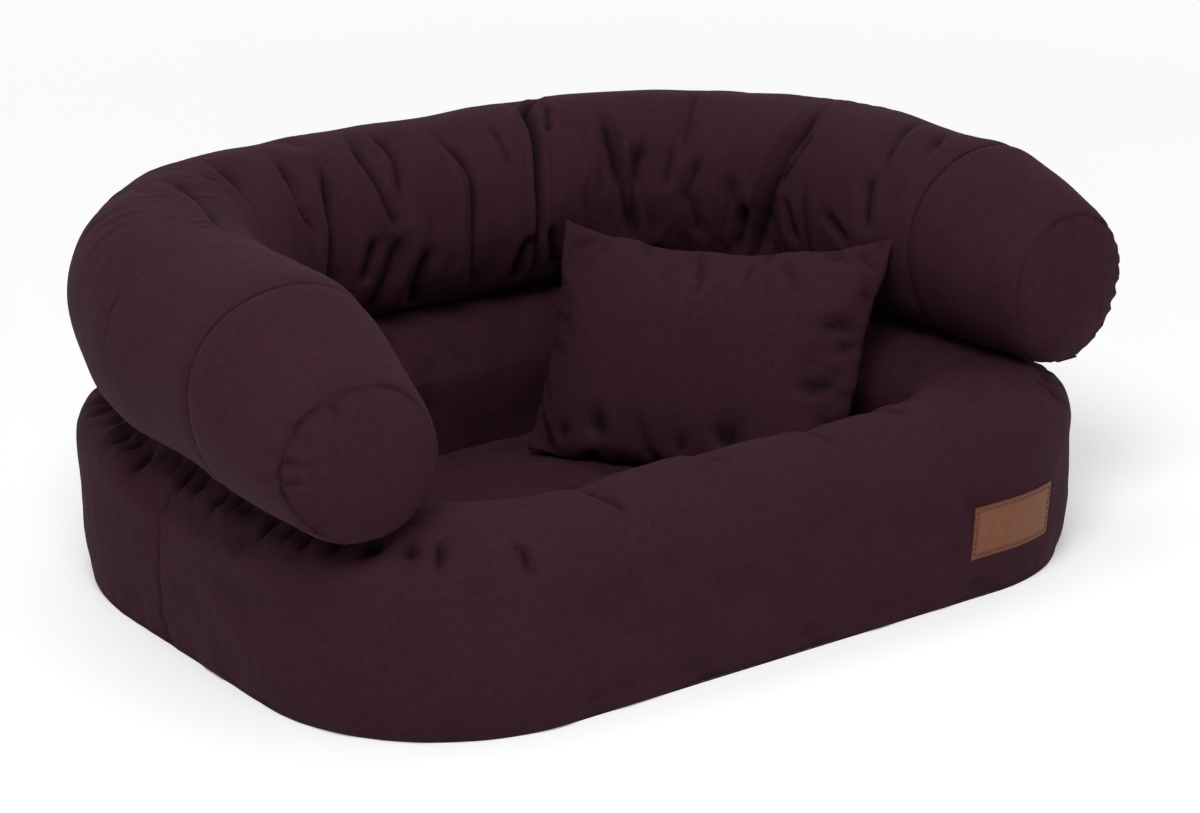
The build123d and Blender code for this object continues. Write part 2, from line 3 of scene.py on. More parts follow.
import bpy
import numpy as np
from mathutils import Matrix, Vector


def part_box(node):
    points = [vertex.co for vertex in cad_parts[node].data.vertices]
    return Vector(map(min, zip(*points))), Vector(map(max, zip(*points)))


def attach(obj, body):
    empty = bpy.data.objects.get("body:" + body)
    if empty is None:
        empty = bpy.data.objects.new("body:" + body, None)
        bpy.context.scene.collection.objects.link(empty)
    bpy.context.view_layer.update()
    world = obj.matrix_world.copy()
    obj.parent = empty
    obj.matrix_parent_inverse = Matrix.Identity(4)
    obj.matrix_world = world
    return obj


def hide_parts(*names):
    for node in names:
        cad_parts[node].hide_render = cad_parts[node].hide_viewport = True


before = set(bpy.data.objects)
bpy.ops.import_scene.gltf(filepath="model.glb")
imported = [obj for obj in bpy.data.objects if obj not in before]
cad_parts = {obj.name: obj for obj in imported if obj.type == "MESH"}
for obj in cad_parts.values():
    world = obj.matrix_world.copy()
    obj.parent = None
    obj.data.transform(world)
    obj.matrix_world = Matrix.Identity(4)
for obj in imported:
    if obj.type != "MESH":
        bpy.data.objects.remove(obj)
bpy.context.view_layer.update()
print("frame loaded")

up = np.array([0.0, 0.0, 1.0])


# Numbers and noise

def smoothStep(value):
    value = np.clip(value, 0.0, 1.0)
    return value * value * (3 - 2 * value)


def unit(vectors):
    length = np.linalg.norm(vectors, axis=-1, keepdims=True)
    return vectors / np.maximum(length, 1e-9)


def softNoise(points, scale, seed, octaves=3):
    # A sum of slanted waves: smooth, about -1 to 1, and the same on every run
    dice = np.random.default_rng(seed)
    total = np.zeros(points.shape[:-1])
    weight = 0.0
    for octave in range(octaves):
        strength = 0.55 ** octave
        for _ in range(5):
            heading = unit(dice.normal(size=3))
            pitch = scale / (1.9 ** octave) * dice.uniform(0.7, 1.4)
            phase = dice.uniform(0, 2 * math.pi)
            total += strength * np.sin(2 * math.pi * (points @ heading) / pitch + phase)
        weight += strength * 2.2
    return total / weight


def lumps(points, rows):
    # The sum of noises given as height, scale and seed
    return sum(height * softNoise(points, scale, seed) for height, scale, seed in rows)


# Grids of points and the meshes made from them

def gridNormals(points, around):
    def slope(axis):
        if around[axis]:
            return np.roll(points, -1, axis) - np.roll(points, 1, axis)
        return np.gradient(points, axis=axis)
    return unit(np.cross(slope(0), slope(1)))


def quads(values):
    # The four corners of every cell of a grid
    return np.stack([values[:-1, :-1], values[1:, :-1], values[1:, 1:], values[:-1, 1:]], axis=2)


def gridFaces(rows, columns, around):
    index = np.arange(rows * columns).reshape(rows, columns)
    if around[0]:
        index = np.vstack([index, index[:1]])
    if around[1]:
        index = np.hstack([index, index[:, :1]])
    return quads(index).reshape(-1, 4)


def gridCloth(points, around):
    # Mean lengths along both ways of a grid, in metres, for the weave
    def run(axis):
        step = np.linalg.norm(np.diff(points, axis=axis), axis=-1).mean(axis=1 - axis)
        if around[axis]:
            last = np.take(points, [0], axis=axis) - np.take(points, [-1], axis=axis)
            step = np.append(step, np.linalg.norm(last, axis=-1).mean())
        return np.append(0, np.cumsum(step))
    return quads(np.stack(np.meshgrid(run(0), run(1), indexing="ij"), axis=-1)).reshape(-1, 4, 2)


def blurred(values, times, around):
    for _ in range(times):
        for axis in (0, 1):
            if around[axis]:
                near = np.roll(values, 1, axis) + np.roll(values, -1, axis)
            else:
                margins = [(1, 1) if index == axis else (0, 0) for index in range(values.ndim)]
                wide = np.pad(values, margins, mode="edge")
                last = wide.shape[axis]
                near = np.take(wide, range(2, last), axis) + np.take(wide, range(last - 2), axis)
            values = (values * 2 + near) / 4
    return values


def paintedCreaseShade(points, around, flip=False, blurs=14, full=0.0021):
    # Painted shade: 0 on open cloth, 1 at the bottom of a crease or a seam, where the colour is darkened as if shade
    # falls there
    outward = gridNormals(points, around) * (-1 if flip else 1)
    depth = ((blurred(points, blurs, around) - points) * outward).sum(-1)
    return np.clip(depth / full, 0, 1)


def makeMesh(name, points, faces, cloth, paintedShadeAndSeams):
    mesh = bpy.data.meshes.new(name)
    mesh.from_pydata(points.tolist(), [], faces)
    layer = mesh.uv_layers.new(name="cloth")
    layer.data.foreach_set("uv", np.asarray(cloth, np.float32).ravel())
    # This point attribute darkens the cloth's colour: painted shade in creases and seam grooves, and the seams' dark
    # lines
    mesh.attributes.new("paintedShadeAndSeams", "FLOAT", "POINT").data.foreach_set("value", np.asarray(paintedShadeAndSeams, np.float32))
    mesh.polygons.foreach_set("use_smooth", [True] * len(mesh.polygons))
    mesh.update()
    piece = bpy.data.objects.new(name, mesh)
    bpy.context.scene.collection.objects.link(piece)
    return piece


def gridPiece(name, points, around, flip=False, hubs=(), plane=None, seams=0):
    # hubs are (row, point): the ring of that row is closed by a fan.
    # plane lays the weave flat instead of along the grid.
    rows, columns = points.shape[:2]
    spots = points.reshape(-1, 3)
    faces = gridFaces(rows, columns, around)
    cloth = gridCloth(points, around) if plane is None else None
    if flip:
        faces = faces[:, ::-1]
        cloth = cloth[:, ::-1] if plane is None else None
    # Painted shade from the creases, joined with the dark seam lines, which are partly painted shade too
    paintedShadeAndSeams = np.append(np.maximum(paintedCreaseShade(points, around, flip), seams).ravel(), np.zeros(len(hubs)))
    faces = faces.tolist()
    for row, spot in hubs:
        ring = list(range(row * columns, (row + 1) * columns))
        inwards = (row == 0) == flip
        for first, second in zip(ring, ring[1:] + ring[:1]):
            faces.append([second, first, len(spots)] if inwards else [first, second, len(spots)])
        spots = np.vstack([spots, spot])
    if plane is not None:
        cloth = (spots @ np.asarray(plane).T)[np.concatenate(faces)]
    return makeMesh(name, spots, faces, cloth, paintedShadeAndSeams)


def subdivided(piece):
    modifier = piece.modifiers.new("fine", "SUBSURF")
    modifier.levels = 1
    modifier.render_levels = 1
    return piece


# Cloth blown up from inside

def inflated(points, faces, held, settings, loose=None):
    # How far each point moves when the cloth is blown up, held where held is true.
    # loose is the shape that the cloth is cut to.
    mesh = bpy.data.meshes.new("trial")
    mesh.from_pydata(points.tolist(), [], faces)
    trial = bpy.data.objects.new("trial", mesh)
    scene = bpy.context.scene
    scene.collection.objects.link(trial)
    trial.vertex_groups.new(name="held").add(np.flatnonzero(held).tolist(), 1.0, "REPLACE")
    modifier = trial.modifiers.new("cloth", "CLOTH")
    cloth = modifier.settings
    if loose is not None:
        trial.shape_key_add(name="Basis")
        cut = trial.shape_key_add(name="cut", from_mix=False)
        cut.data.foreach_set("co", loose.ravel())
        cloth.rest_shape_key = cut
    cloth.quality = 5
    cloth.mass = 0.3
    cloth.tension_stiffness = cloth.compression_stiffness = settings["stretch"]
    cloth.shear_stiffness = settings["stretch"] / 3
    cloth.bending_stiffness = settings["bend"]
    cloth.use_pressure = True
    cloth.uniform_pressure_force = settings["pressure"]
    cloth.shrink_min = -settings["spare"]
    if held.any():
        cloth.vertex_group_mass = "held"
    cloth.effector_weights.gravity = 0
    modifier.point_cache.frame_end = settings["frames"]
    for step in range(1, settings["frames"] + 1):
        scene.frame_set(step)
    shape = trial.evaluated_get(bpy.context.evaluated_depsgraph_get()).data
    after = np.empty(len(points) * 3, np.float32)
    shape.vertices.foreach_get("co", after)
    bpy.data.objects.remove(trial)
    scene.frame_set(1)
    moved = after.reshape(-1, 3) - points
    length = np.linalg.norm(moved, axis=-1, keepdims=True)
    return moved * np.minimum(1, settings["most"] / np.maximum(length, 1e-9))


def resampled(values, places, closed):
    # Smooth values at places between the rows
    base = np.floor(places).astype(int)
    share = (places - base).reshape(-1, *[1] * (values.ndim - 1))

    def row(offset):
        index = base + offset
        return values[index % len(values) if closed else np.clip(index, 0, len(values) - 1)]
    a, b, c, d = row(-1), row(0), row(1), row(2)
    return 0.5 * (2 * b + (c - a) * share + (2 * a - 5 * b + 4 * c - d) * share ** 2
                  + (3 * b - a - 3 * c + d) * share ** 3)


def puffed(points, held, around, flip, settings, loose=None):
    # A grid's own wrinkles from a simulation on a rougher copy; most of the even swelling is left out
    sizes = points.shape[:2]
    rough = settings["grid"]
    down, back = [], []
    for axis in (0, 1):
        if around[axis]:
            down.append(np.arange(rough[axis]) * sizes[axis] / rough[axis])
            back.append(np.arange(sizes[axis]) * rough[axis] / sizes[axis])
        else:
            down.append(np.linspace(0, sizes[axis] - 1, rough[axis]))
            back.append(np.linspace(0, rough[axis] - 1, sizes[axis]))

    def both(values, places):
        values = resampled(values, places[0], around[0])
        return resampled(values.swapaxes(0, 1), places[1], around[1]).swapaxes(0, 1)
    coarse = both(points, down)
    coarseHeld = both(held.astype(float), down) > 0.5
    faces = gridFaces(*rough, around)
    if flip:
        faces = faces[:, ::-1]
    if loose is not None:
        loose = both(loose, down).reshape(-1, 3)
    moved = inflated(coarse.reshape(-1, 3), faces.tolist(), coarseHeld.ravel(), settings, loose)
    moved = moved.reshape(coarse.shape)
    normals = gridNormals(coarse, around)
    swell = (moved * normals).sum(-1)
    even = blurred(swell, settings["blur"], around)
    moved = moved - normals * even[..., None] * (1 - settings["keep"])
    return both(moved, back)


# Creases: valleys along a line on the surface, gentle on one side and steep on the other

def smoothLine(corners, count=24):
    corners = np.asarray(corners, float)
    places = np.linspace(0, len(corners) - 1, count)
    places[-1] -= 1e-6
    padded = np.vstack([2 * corners[0] - corners[1], corners, 2 * corners[-1] - corners[-2]])
    return resampled(padded, places + 1, False)


# Widths are in widths of the crease
crease = {
    "reach": 7,
    "gentle": 2.0,
    "steep": 0.75,
    "core": 0.78,
    "corePower": 1.15,
    "skirt": 0.22,
    "skirtWidth": 3.6,
    "lipPlace": 1.9,
    "lipWidth": 0.85,
    "gentleLip": 0.2,
}


def creaseLift(points, normals, line, depth, width, lean=0, ridge=0.3, taper=0.3):
    # Height to add to each point for a crease along a line of points.
    # lean +1 or -1 makes that side the gentle one.
    flat = points.reshape(-1, 3)
    margin = width * crease["reach"]
    near = np.all((flat > line.min(0) - margin) & (flat < line.max(0) + margin), axis=-1)
    lift = np.zeros(len(flat))
    spots, facing = flat[near], normals.reshape(-1, 3)[near]
    start, run = line[:-1], np.diff(line, axis=0)
    square = np.maximum((run * run).sum(-1), 1e-12)
    best = np.full(len(spots), 1e9)
    where, side = np.zeros(len(spots)), np.zeros(len(spots))
    for index in range(len(run)):
        share = np.clip(((spots - start[index]) @ run[index]) / square[index], 0, 1)
        offset = spots - start[index] - share[:, None] * run[index]
        distance = np.linalg.norm(offset, axis=-1)
        closer = distance < best
        best = np.where(closer, distance, best)
        where = np.where(closer, (index + share) / len(run), where)
        turned = np.sign((np.cross(run[index], offset) * facing).sum(-1))
        side = np.where(closer, turned, side)
    fade = smoothStep(where / taper) * smoothStep((1 - where) / taper)
    across = side * lean
    reach = width * np.where(across > 0, crease["gentle"], np.where(across < 0, crease["steep"], 1.0))
    valley = (crease["core"] * np.exp(-(best / reach) ** crease["corePower"])
              + crease["skirt"] * np.exp(-(best / (width * crease["skirtWidth"])) ** 2))
    lip = np.exp(-((best / width - crease["lipPlace"]) / crease["lipWidth"]) ** 2)
    lip = lip * np.where(across > 0, crease["gentleLip"], 1.0)
    lift[near] = depth * fade * (ridge * lip - valley)
    return lift.reshape(points.shape[:-1])


# Cloth round the label and the zips

fittings = {"calm": 0.022, "calmStart": 0.004, "slotHalf": 0.0055, "slotEdge": 0.0030, "slotDepth": 0.0026,
            "seatSlotDepth": 0.0078, "slotEnd": 0.001, "calmBeside": 0.05, "slotBeside": 0.02}


def calmRound(points, nodeName):
    # 0 over the piece, 1 away from it
    low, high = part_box(nodeName)
    outside = np.maximum(np.maximum(low.x - points[..., 0], points[..., 0] - high.x),
                         np.maximum(low.z - points[..., 2], points[..., 2] - high.z))
    beside = np.abs(points[..., 1] - (low.y + high.y) / 2) < fittings["calmBeside"]
    return np.where(beside, smoothStep((outside - fittings["calmStart"]) / fittings["calm"]), 1)


def slotRound(points, nodeName):
    # 1 in a zip's slot, 0 outside it
    low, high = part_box(nodeName)
    across = np.abs(points[..., 2] - (low.z + high.z) / 2)
    along = np.abs(points[..., 0] - (low.x + high.x) / 2) - (high.x - low.x) / 2 + fittings["slotEnd"]
    beside = np.abs(points[..., 1] - (low.y + high.y) / 2) < fittings["slotBeside"]
    edge = fittings["slotEdge"]
    return beside * smoothStep((fittings["slotHalf"] + edge - across) / edge) * smoothStep(-along / edge)


# Roll: its centre line runs from the left cap round the back to the right cap

wallLow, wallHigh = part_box("wall_front_cover")
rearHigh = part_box("wall_rear_cover")[1]
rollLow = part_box("bolster_back_cover")[0]
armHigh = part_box("bolster_right_arm_cover")[1]
roll = {
    "radius": 0.079,
    "capRadius": 0.062,
    "cornerRadius": 0.208,
    "sideSetback": 0.049,
    "backSetback": 0.081,
    "capSetback": 0.064,
    "seamLength": 0.104,
    "flat": 0.003,
    "dome": 0.015,
    "runStep": 0.0022,
    "groove": 0.0024,
    "grooveWidth": 0.0013,
    "pull": 0.0022,
    "pullWidth": 0.008,
    "seamMark": 0.0011,
    "puff": 0.003,
    "taperPower": 1.15,
    "capLump": 0.0016,
    "capLumpScale": 0.07,
}
roll["base"] = rollLow.z - roll["flat"]
roll["half"] = wallHigh.x - roll["sideSetback"]
roll["back"] = rearHigh.y - roll["backSetback"]
roll["cornerX"] = roll["half"] - roll["cornerRadius"]
roll["cornerY"] = roll["back"] - roll["cornerRadius"]
roll["seamX"] = armHigh.x - roll["radius"]
roll["seamY"] = wallLow.y + roll["capSetback"] + roll["seamLength"]
roll["cornerEnd"] = roll["cornerX"] + math.pi / 2 * roll["cornerRadius"]
armWay = np.array([roll["seamX"] - roll["half"], roll["seamY"] - roll["cornerY"]])
roll["seamRun"] = roll["cornerEnd"] + float(np.hypot(*armWay))
armWay = armWay / np.hypot(*armWay)
roll["armRun"] = roll["seamLength"] / -armWay[1]
roll["endRun"] = roll["seamRun"] + roll["armRun"]


def rollCentre(run):
    # Centre, outward heading and radius of the roll at a run from the middle of the back
    side = np.where(run < 0, -1.0, 1.0)
    along = np.abs(run)
    turn = np.clip((along - roll["cornerX"]) / roll["cornerRadius"], 0, math.pi / 2)
    outX, outY = np.sin(turn), np.cos(turn)
    past = np.maximum(along - roll["cornerEnd"], 0)
    x = np.minimum(along, roll["cornerX"]) + roll["cornerRadius"] * outX + armWay[0] * past
    y = roll["cornerY"] + roll["cornerRadius"] * outY + armWay[1] * past
    outX = np.where(past > 0, -armWay[1], outX)
    outY = np.where(past > 0, armWay[0], outY)
    share = np.clip((along - roll["seamRun"]) / roll["armRun"], 0, 1)
    radius = roll["radius"] - (roll["radius"] - roll["capRadius"]) * share ** roll["taperPower"]
    centre = np.stack([side * x, y, roll["base"] + radius], axis=-1)
    outward = np.stack([side * outX, outY, np.zeros_like(outX)], axis=-1)
    return centre, outward, radius


def rollPoint(run, turn):
    # turn is in degrees: 0 faces out of the bed, 90 is the top, 180 faces into the bed
    centre, outward, radius = rollCentre(run)
    angle = np.radians(turn)
    facing = outward * np.cos(angle)[..., None] + up * np.sin(angle)[..., None]
    return centre + facing * radius[..., None], facing


gathers = {
    # Main folds as (places, depth, width, lean); a place is (run from the middle of the back, turn in degrees)
    "folds": [
        (((-0.262, 80), (-0.290, 98), (-0.330, 112), (-0.385, 116), (-0.430, 108)), 0.009, 0.008, 1),
        (((-0.208, 86), (-0.220, 111), (-0.252, 141), (-0.300, 168), (-0.335, 212)), 0.012, 0.007, 1),
        (((-0.140, 102), (-0.156, 126), (-0.164, 147), (-0.144, 166)), 0.008, 0.006, 1),
        (((-0.102, 108), (-0.115, 138), (-0.124, 168), (-0.132, 205), (-0.142, 242)), 0.016, 0.006, 1),
        (((-0.060, 88), (-0.068, 122), (-0.063, 156), (-0.057, 174)), 0.009, 0.006, 1),
        (((-0.040, 92), (-0.040, 120), (-0.055, 160)), 0.007, 0.005, 1),
        (((-0.050, 164), (-0.062, 188), (-0.071, 222), (-0.074, 244)), 0.011, 0.007, -1),
        (((-0.080, 168), (-0.092, 206)), 0.008, 0.006, 0),
        (((0.000, 104), (0.021, 140), (0.014, 190), (0.031, 246)), 0.010, 0.007, 1),
        (((-0.030, 178), (-0.036, 210), (-0.024, 246)), 0.009, 0.007, 0),
        (((0.064, 106), (0.060, 150)), 0.004, 0.006, 0),
        (((0.150, 60), (0.132, 84), (0.110, 100), (0.094, 132), (0.081, 162), (0.079, 196), (0.090, 242)),
         0.013, 0.0036, 0),
        (((0.087, 182), (0.096, 202), (0.108, 228)), 0.010, 0.0045, 0),
        (((0.070, 186), (0.066, 206), (0.066, 234)), 0.009, 0.006, 0),
        (((0.136, 96), (0.124, 112), (0.110, 128)), 0.005, 0.004, 0),
        (((0.178, 110), (0.181, 142), (0.194, 186), (0.207, 216)), 0.013, 0.005, -1),
        (((0.222, 134), (0.206, 154), (0.203, 186), (0.213, 214)), 0.012, 0.005, 1),
        (((0.270, 92), (0.269, 120), (0.261, 158)), 0.004, 0.005, 0),
        (((0.287, 148), (0.276, 165), (0.260, 182)), 0.005, 0.005, 0),
        (((0.253, 138), (0.241, 174)), 0.004, 0.005, 0),
        (((0.269, 170), (0.288, 206)), 0.005, 0.006, 0),
        (((0.325, 156), (0.340, 204)), 0.005, 0.007, 0),
        (((0.351, 176), (0.342, 196), (0.329, 222)), 0.012, 0.005, 0),
        (((0.388, 86), (0.396, 126), (0.384, 162), (0.360, 204), (0.345, 236)), 0.015, 0.006, 1),
        (((0.411, 120), (0.405, 144), (0.392, 166)), 0.009, 0.004, 0),
        (((0.505, 136), (0.521, 180)), 0.006, 0.007, 0),
        (((0.518, 82), (0.538, 106), (0.548, 136), (0.534, 168)), 0.008, 0.006, -1),
        (((0.481, 78), (0.500, 110), (0.521, 146)), 0.005, 0.007, 0),
        (((0.464, 170), (0.502, 187)), 0.005, 0.005, 0),
        (((0.411, 168), (0.431, 202)), 0.007, 0.005, 0),
    ],
    # Small gathers that rise from the seam under the inner side
    "smallCount": 17,
    "smallDepth": (0.0020, 0.0045),
    "smallWidth": (0.0055, 0.0085),
    # Ridge and taper
    "smallEnds": (0.3, 0.4),
    "smallSeed": 11,
    "smallStart": -0.20,
    "smallSpan": 0.66,
    "smallBend": 0.016,
    "smallFoot": (236, 252),
    "smallHead": (128, 190),
    # Fine ripples round the outside of both rear corners: (middle run, reach, height)
    "ripples": [(-0.36, 0.20, 0.0007), (0.44, 0.12, 0.0004)],
    "rippleTurns": (12, 132),
    "ripplePitch": 0.012,
    "rippleStretch": 0.14,
    "lump": 0.0022,
    "lumpScale": 0.16,
}
rollPuff = {"grid": (221, 96), "stretch": 12.0, "bend": 0.35, "pressure": 3.0, "spare": 0.006, "frames": 22,
            "most": 0.012, "blur": 70, "keep": 0.25, "extra": 0.045}
# The simulated wrinkles are strong along the back and calm on the arms:
# left and right are the runs between which they fade
calm = {"left": (0.28, 0.42), "right": (0.42, 0.54), "least": 0.15, "outside": 0.30}
# Where the stuffed roll has settled out of true: middle, push and reach in metres
settled = [
    ((-0.335, 0.150, 0.2), (0.009, -0.003, 0.003), 0.15),
    ((0.320, 0.06, 0.2), (0.008, 0.0, 0.004), 0.20),
    ((0.0, 0.21, 0.2), (0.0, 0.0, -0.003), 0.20),
    ((-0.330, -0.250, 0.2), (-0.017, -0.007, -0.013), 0.13),
]


def settle(points, share=1.0):
    shift = np.zeros_like(points)
    for middle, push, reach in settled:
        distance = np.linalg.norm(points - np.array(middle), axis=-1)
        shift += np.exp(-(distance / reach) ** 2)[..., None] * np.array(push)
    rise = 0.3 + 0.7 * smoothStep((points[..., 2:] - rollLow.z) / roll["radius"])
    return points + shift * rise * np.asarray(share)[..., None]


def rollCrease(points, facing, places, *profile, count=24):
    # places are (run, turn), and profile is what creaseLift takes
    path = smoothLine(places, count)
    return creaseLift(points, facing, rollPoint(path[:, 0], path[:, 1])[0], *profile)


def rollFolds(points, facing, run, turn):
    lift = np.zeros(points.shape[:-1])
    for places, *profile in gathers["folds"]:
        lift += rollCrease(points, facing, places, *profile)
    dice = np.random.default_rng(gathers["smallSeed"])
    for index in range(gathers["smallCount"]):
        start = gathers["smallStart"] + gathers["smallSpan"] * (index + dice.uniform(0, 1)) / gathers["smallCount"]
        bend = dice.uniform(-gathers["smallBend"], gathers["smallBend"])
        foot, head = dice.uniform(*gathers["smallFoot"]), dice.uniform(*gathers["smallHead"])
        places = [(start, foot), (start + bend * 0.4, (foot + head) / 2), (start + bend, head)]
        depth, width = dice.uniform(*gathers["smallDepth"]), dice.uniform(*gathers["smallWidth"])
        lift += rollCrease(points, facing, places, depth, width, int(dice.integers(-1, 2)), *gathers["smallEnds"])
    low, high = gathers["rippleTurns"]
    band = smoothStep((turn - low) / 40) * smoothStep((high - turn) / 30)
    slow = np.radians(turn) * roll["radius"] * gathers["rippleStretch"]
    wave = softNoise(np.stack([run, slow, 0.1 * slow], axis=-1), gathers["ripplePitch"], 41, 2)
    strength = np.clip(0.6 + softNoise(points, 0.06, 42), 0, 1.4)
    for middle, reach, height in gathers["ripples"]:
        lift += height * band * strength * wave * np.exp(-((run - middle) / reach) ** 4)
    return lift


def seamGroove(run, lift):
    for seam in (roll["seamRun"], roll["endRun"]):
        away = np.abs(np.abs(run) - seam)
        lift = lift - roll["groove"] * np.exp(-(away / roll["grooveWidth"]) ** 1.2)
        lift = lift - roll["pull"] * np.exp(-(away / roll["pullWidth"]) ** 2)
    return lift


capSeam = {
    # Short puckers across the cap seams, stronger on the outside where the cloth is eased in
    "pitch": 0.0150,
    "depth": 0.0015,
    # Width, lean, ridge and taper
    "profile": (0.0030, 0, 0.5, 0.45),
    "armReach": 0.022,
    "capReach": 0.26,
    "most": 1.2,
    "seeds": {1: 51, -1: 52},
}


def seamPuckers(side):
    # (turn, strength) of each pucker round a cap seam
    dice = np.random.default_rng(capSeam["seeds"][side])
    step = math.degrees(capSeam["pitch"] / roll["capRadius"])
    found = []
    turn = -90.0
    while turn < 262:
        outside = 0.35 + 0.9 * math.exp(-((turn - 5) / 75) ** 2)
        found.append((turn, outside * dice.uniform(0.3, 1.3), dice.uniform(-4, 4)))
        turn += step * dice.uniform(0.6, 1.5)
    return found


def rollShape(run, turn, withFolds):
    # The roll's skin: its round form, its gathers, the drawn-in seams and the flat below
    points, facing = rollPoint(run, turn)
    lift = gathers["lump"] * softNoise(points, gathers["lumpScale"], 5)
    lift += roll["puff"] * smoothStep((88 - turn) / 45) * smoothStep(turn / 40 + 0.4)
    moved = 0
    if withFolds:
        seamShare = smoothStep((roll["seamRun"] - 0.010 - np.abs(run)) / 0.03)
        held = (points[..., 2] < rollLow.z + 0.007) | (np.abs(run) > roll["seamRun"] - 0.003)
        loose = points + rollCentre(run)[0] * [rollPuff["extra"], rollPuff["extra"], 0]
        moved = puffed(points, held, (False, True), True, rollPuff, loose)
        fades = np.where(run < 0, np.abs(run) - calm["left"][0], np.abs(run) - calm["right"][0])
        fades = fades / np.where(run < 0, calm["left"][1] - calm["left"][0],
                                 calm["right"][1] - calm["right"][0])
        strength = 1 - (1 - calm["least"]) * smoothStep(fades)
        strength *= calm["outside"] + (1 - calm["outside"]) * smoothStep((turn - 50) / 50)
        moved = moved * strength[..., None]
        lift += rollFolds(points, facing, run, turn) * seamShare
    else:
        side = 1 if run.mean() > 0 else -1
        for angle, strength, slant in seamPuckers(side):
            past = roll["endRun"] + 0.6 * capSeam["armReach"]
            before = roll["endRun"] - capSeam["armReach"] * min(strength, capSeam["most"])
            places = [(side * past, angle), (side * before, angle + slant)]
            lift += rollCrease(points, facing, places, capSeam["depth"] * strength, *capSeam["profile"], count=6)
    share = calmRound(points, "bolster_zip_tape")
    lift = seamGroove(run, lift) * share - fittings["slotDepth"] * slotRound(points, "bolster_zip_tape")
    points = points + moved * share[..., None] + facing * lift[..., None]
    points[..., 2] = np.maximum(points[..., 2], rollLow.z)
    return settle(points, share)


def seamJointAndShade(away, places, turn):
    # Dark line along a seam, the seam's dark joint and painted shade in its groove: patchy, and stronger outside and
    # on top than inside
    share = 0.45 + 0.55 * smoothStep((150 - turn) / 60)
    patchy = np.clip(0.8 + 0.7 * softNoise(places, 0.05, 71), 0.2, 1)
    return np.exp(-(away / roll["seamMark"]) ** 2) * patchy * share


seamSteps = (-0.0040, -0.0026, -0.0016, -0.0008, 0, 0.0008, 0.0016, 0.0026, 0.0040)
seamClear = 0.0045


def seamStops(low, high, seams):
    # Stations along a run, closer together on both sides of each seam
    stops = list(np.linspace(low, high, int(round((high - low) / roll["runStep"])) + 1))
    for seam in seams:
        stops = [stop for stop in stops if abs(stop - seam) > seamClear] + [seam + step for step in seamSteps]
    return np.array(sorted(stop for stop in stops if low - 1e-9 <= stop <= high + 1e-9))


def capPoints(side, turns, rings=26):
    # Domed round end, eased into its seam
    end = side * roll["endRun"]
    rim = rollShape(*np.meshgrid([end], turns, indexing="ij"), False)[0]
    middle = settle(rollCentre(np.array([end]))[0])[0]
    ahead = np.array([side * armWay[0], armWay[1], 0.0])
    shares = 1 - np.linspace(0, 1, rings + 1)[:-1] ** 1.25
    grid = np.array([middle + (rim - middle) * share + ahead * roll["dome"] * (1 - share ** 2.4) ** 0.75
                     for share in shares])
    lift = roll["capLump"] * softNoise(grid, roll["capLumpScale"], 21) * smoothStep((1 - shares) * 4)[:, None]
    facing = np.broadcast_to(ahead, grid.shape)
    for angle, strength, slant in seamPuckers(side):
        column = int(np.argmin(np.abs(turns - angle)))
        reach = capSeam["capReach"] * min(strength, capSeam["most"])
        line = np.array([middle + (grid[0, column] - middle) * share for share in (1.12, 1 - reach)])
        line[1] += ahead * roll["dome"] * 0.6
        lift += creaseLift(grid, facing, smoothLine(line, 6), capSeam["depth"] * strength, *capSeam["profile"])
    lift *= smoothStep((1 - shares) * 30)[:, None]
    marks = seamJointAndShade((1 - shares)[:, None] * roll["capRadius"] * np.ones(len(turns)), grid, turns)
    return grid + ahead * lift[..., None], middle + ahead * roll["dome"], marks


rollTurns = np.concatenate([np.linspace(-50, 250, 151), np.linspace(250, 310, 11)[1:-1]])
seamRun, endRun = roll["seamRun"], roll["endRun"]
backStops = seamStops(-seamRun, seamRun, (-seamRun, seamRun))
armStops = seamStops(seamRun, endRun, (seamRun, endRun))


def rollPiece(name, stops, withFolds):
    run, turn = np.meshgrid(stops, rollTurns, indexing="ij")
    points = rollShape(run, turn, withFolds)
    away = np.minimum(np.abs(np.abs(run) - seamRun), np.abs(np.abs(run) - endRun))
    return gridPiece(name, points, (False, True), True, seams=seamJointAndShade(away, points, turn))


bolsterBack = rollPiece("bolsterBack", backStops, True)
print("bolster's back made")
bolsterArms = []
bolsterCaps = []
for side, name in ((1, "Right"), (-1, "Left")):
    stops = armStops if side > 0 else -armStops[::-1]
    bolsterArms.append(rollPiece("bolsterArm" + name, stops, False))
    capGrid, capMiddle, capSeamJointAndShade = capPoints(side, rollTurns)
    bolsterCaps.append(gridPiece("bolsterCap" + name, capGrid, (False, True), side > 0,
                                 [(len(capGrid) - 1, capMiddle)], ((1, 0, 0), (0, 0, 1)), capSeamJointAndShade))
print("bolster's arms made")


# Wall: its crest is a rounded loop, and its sides reach out to the outer and inner outlines

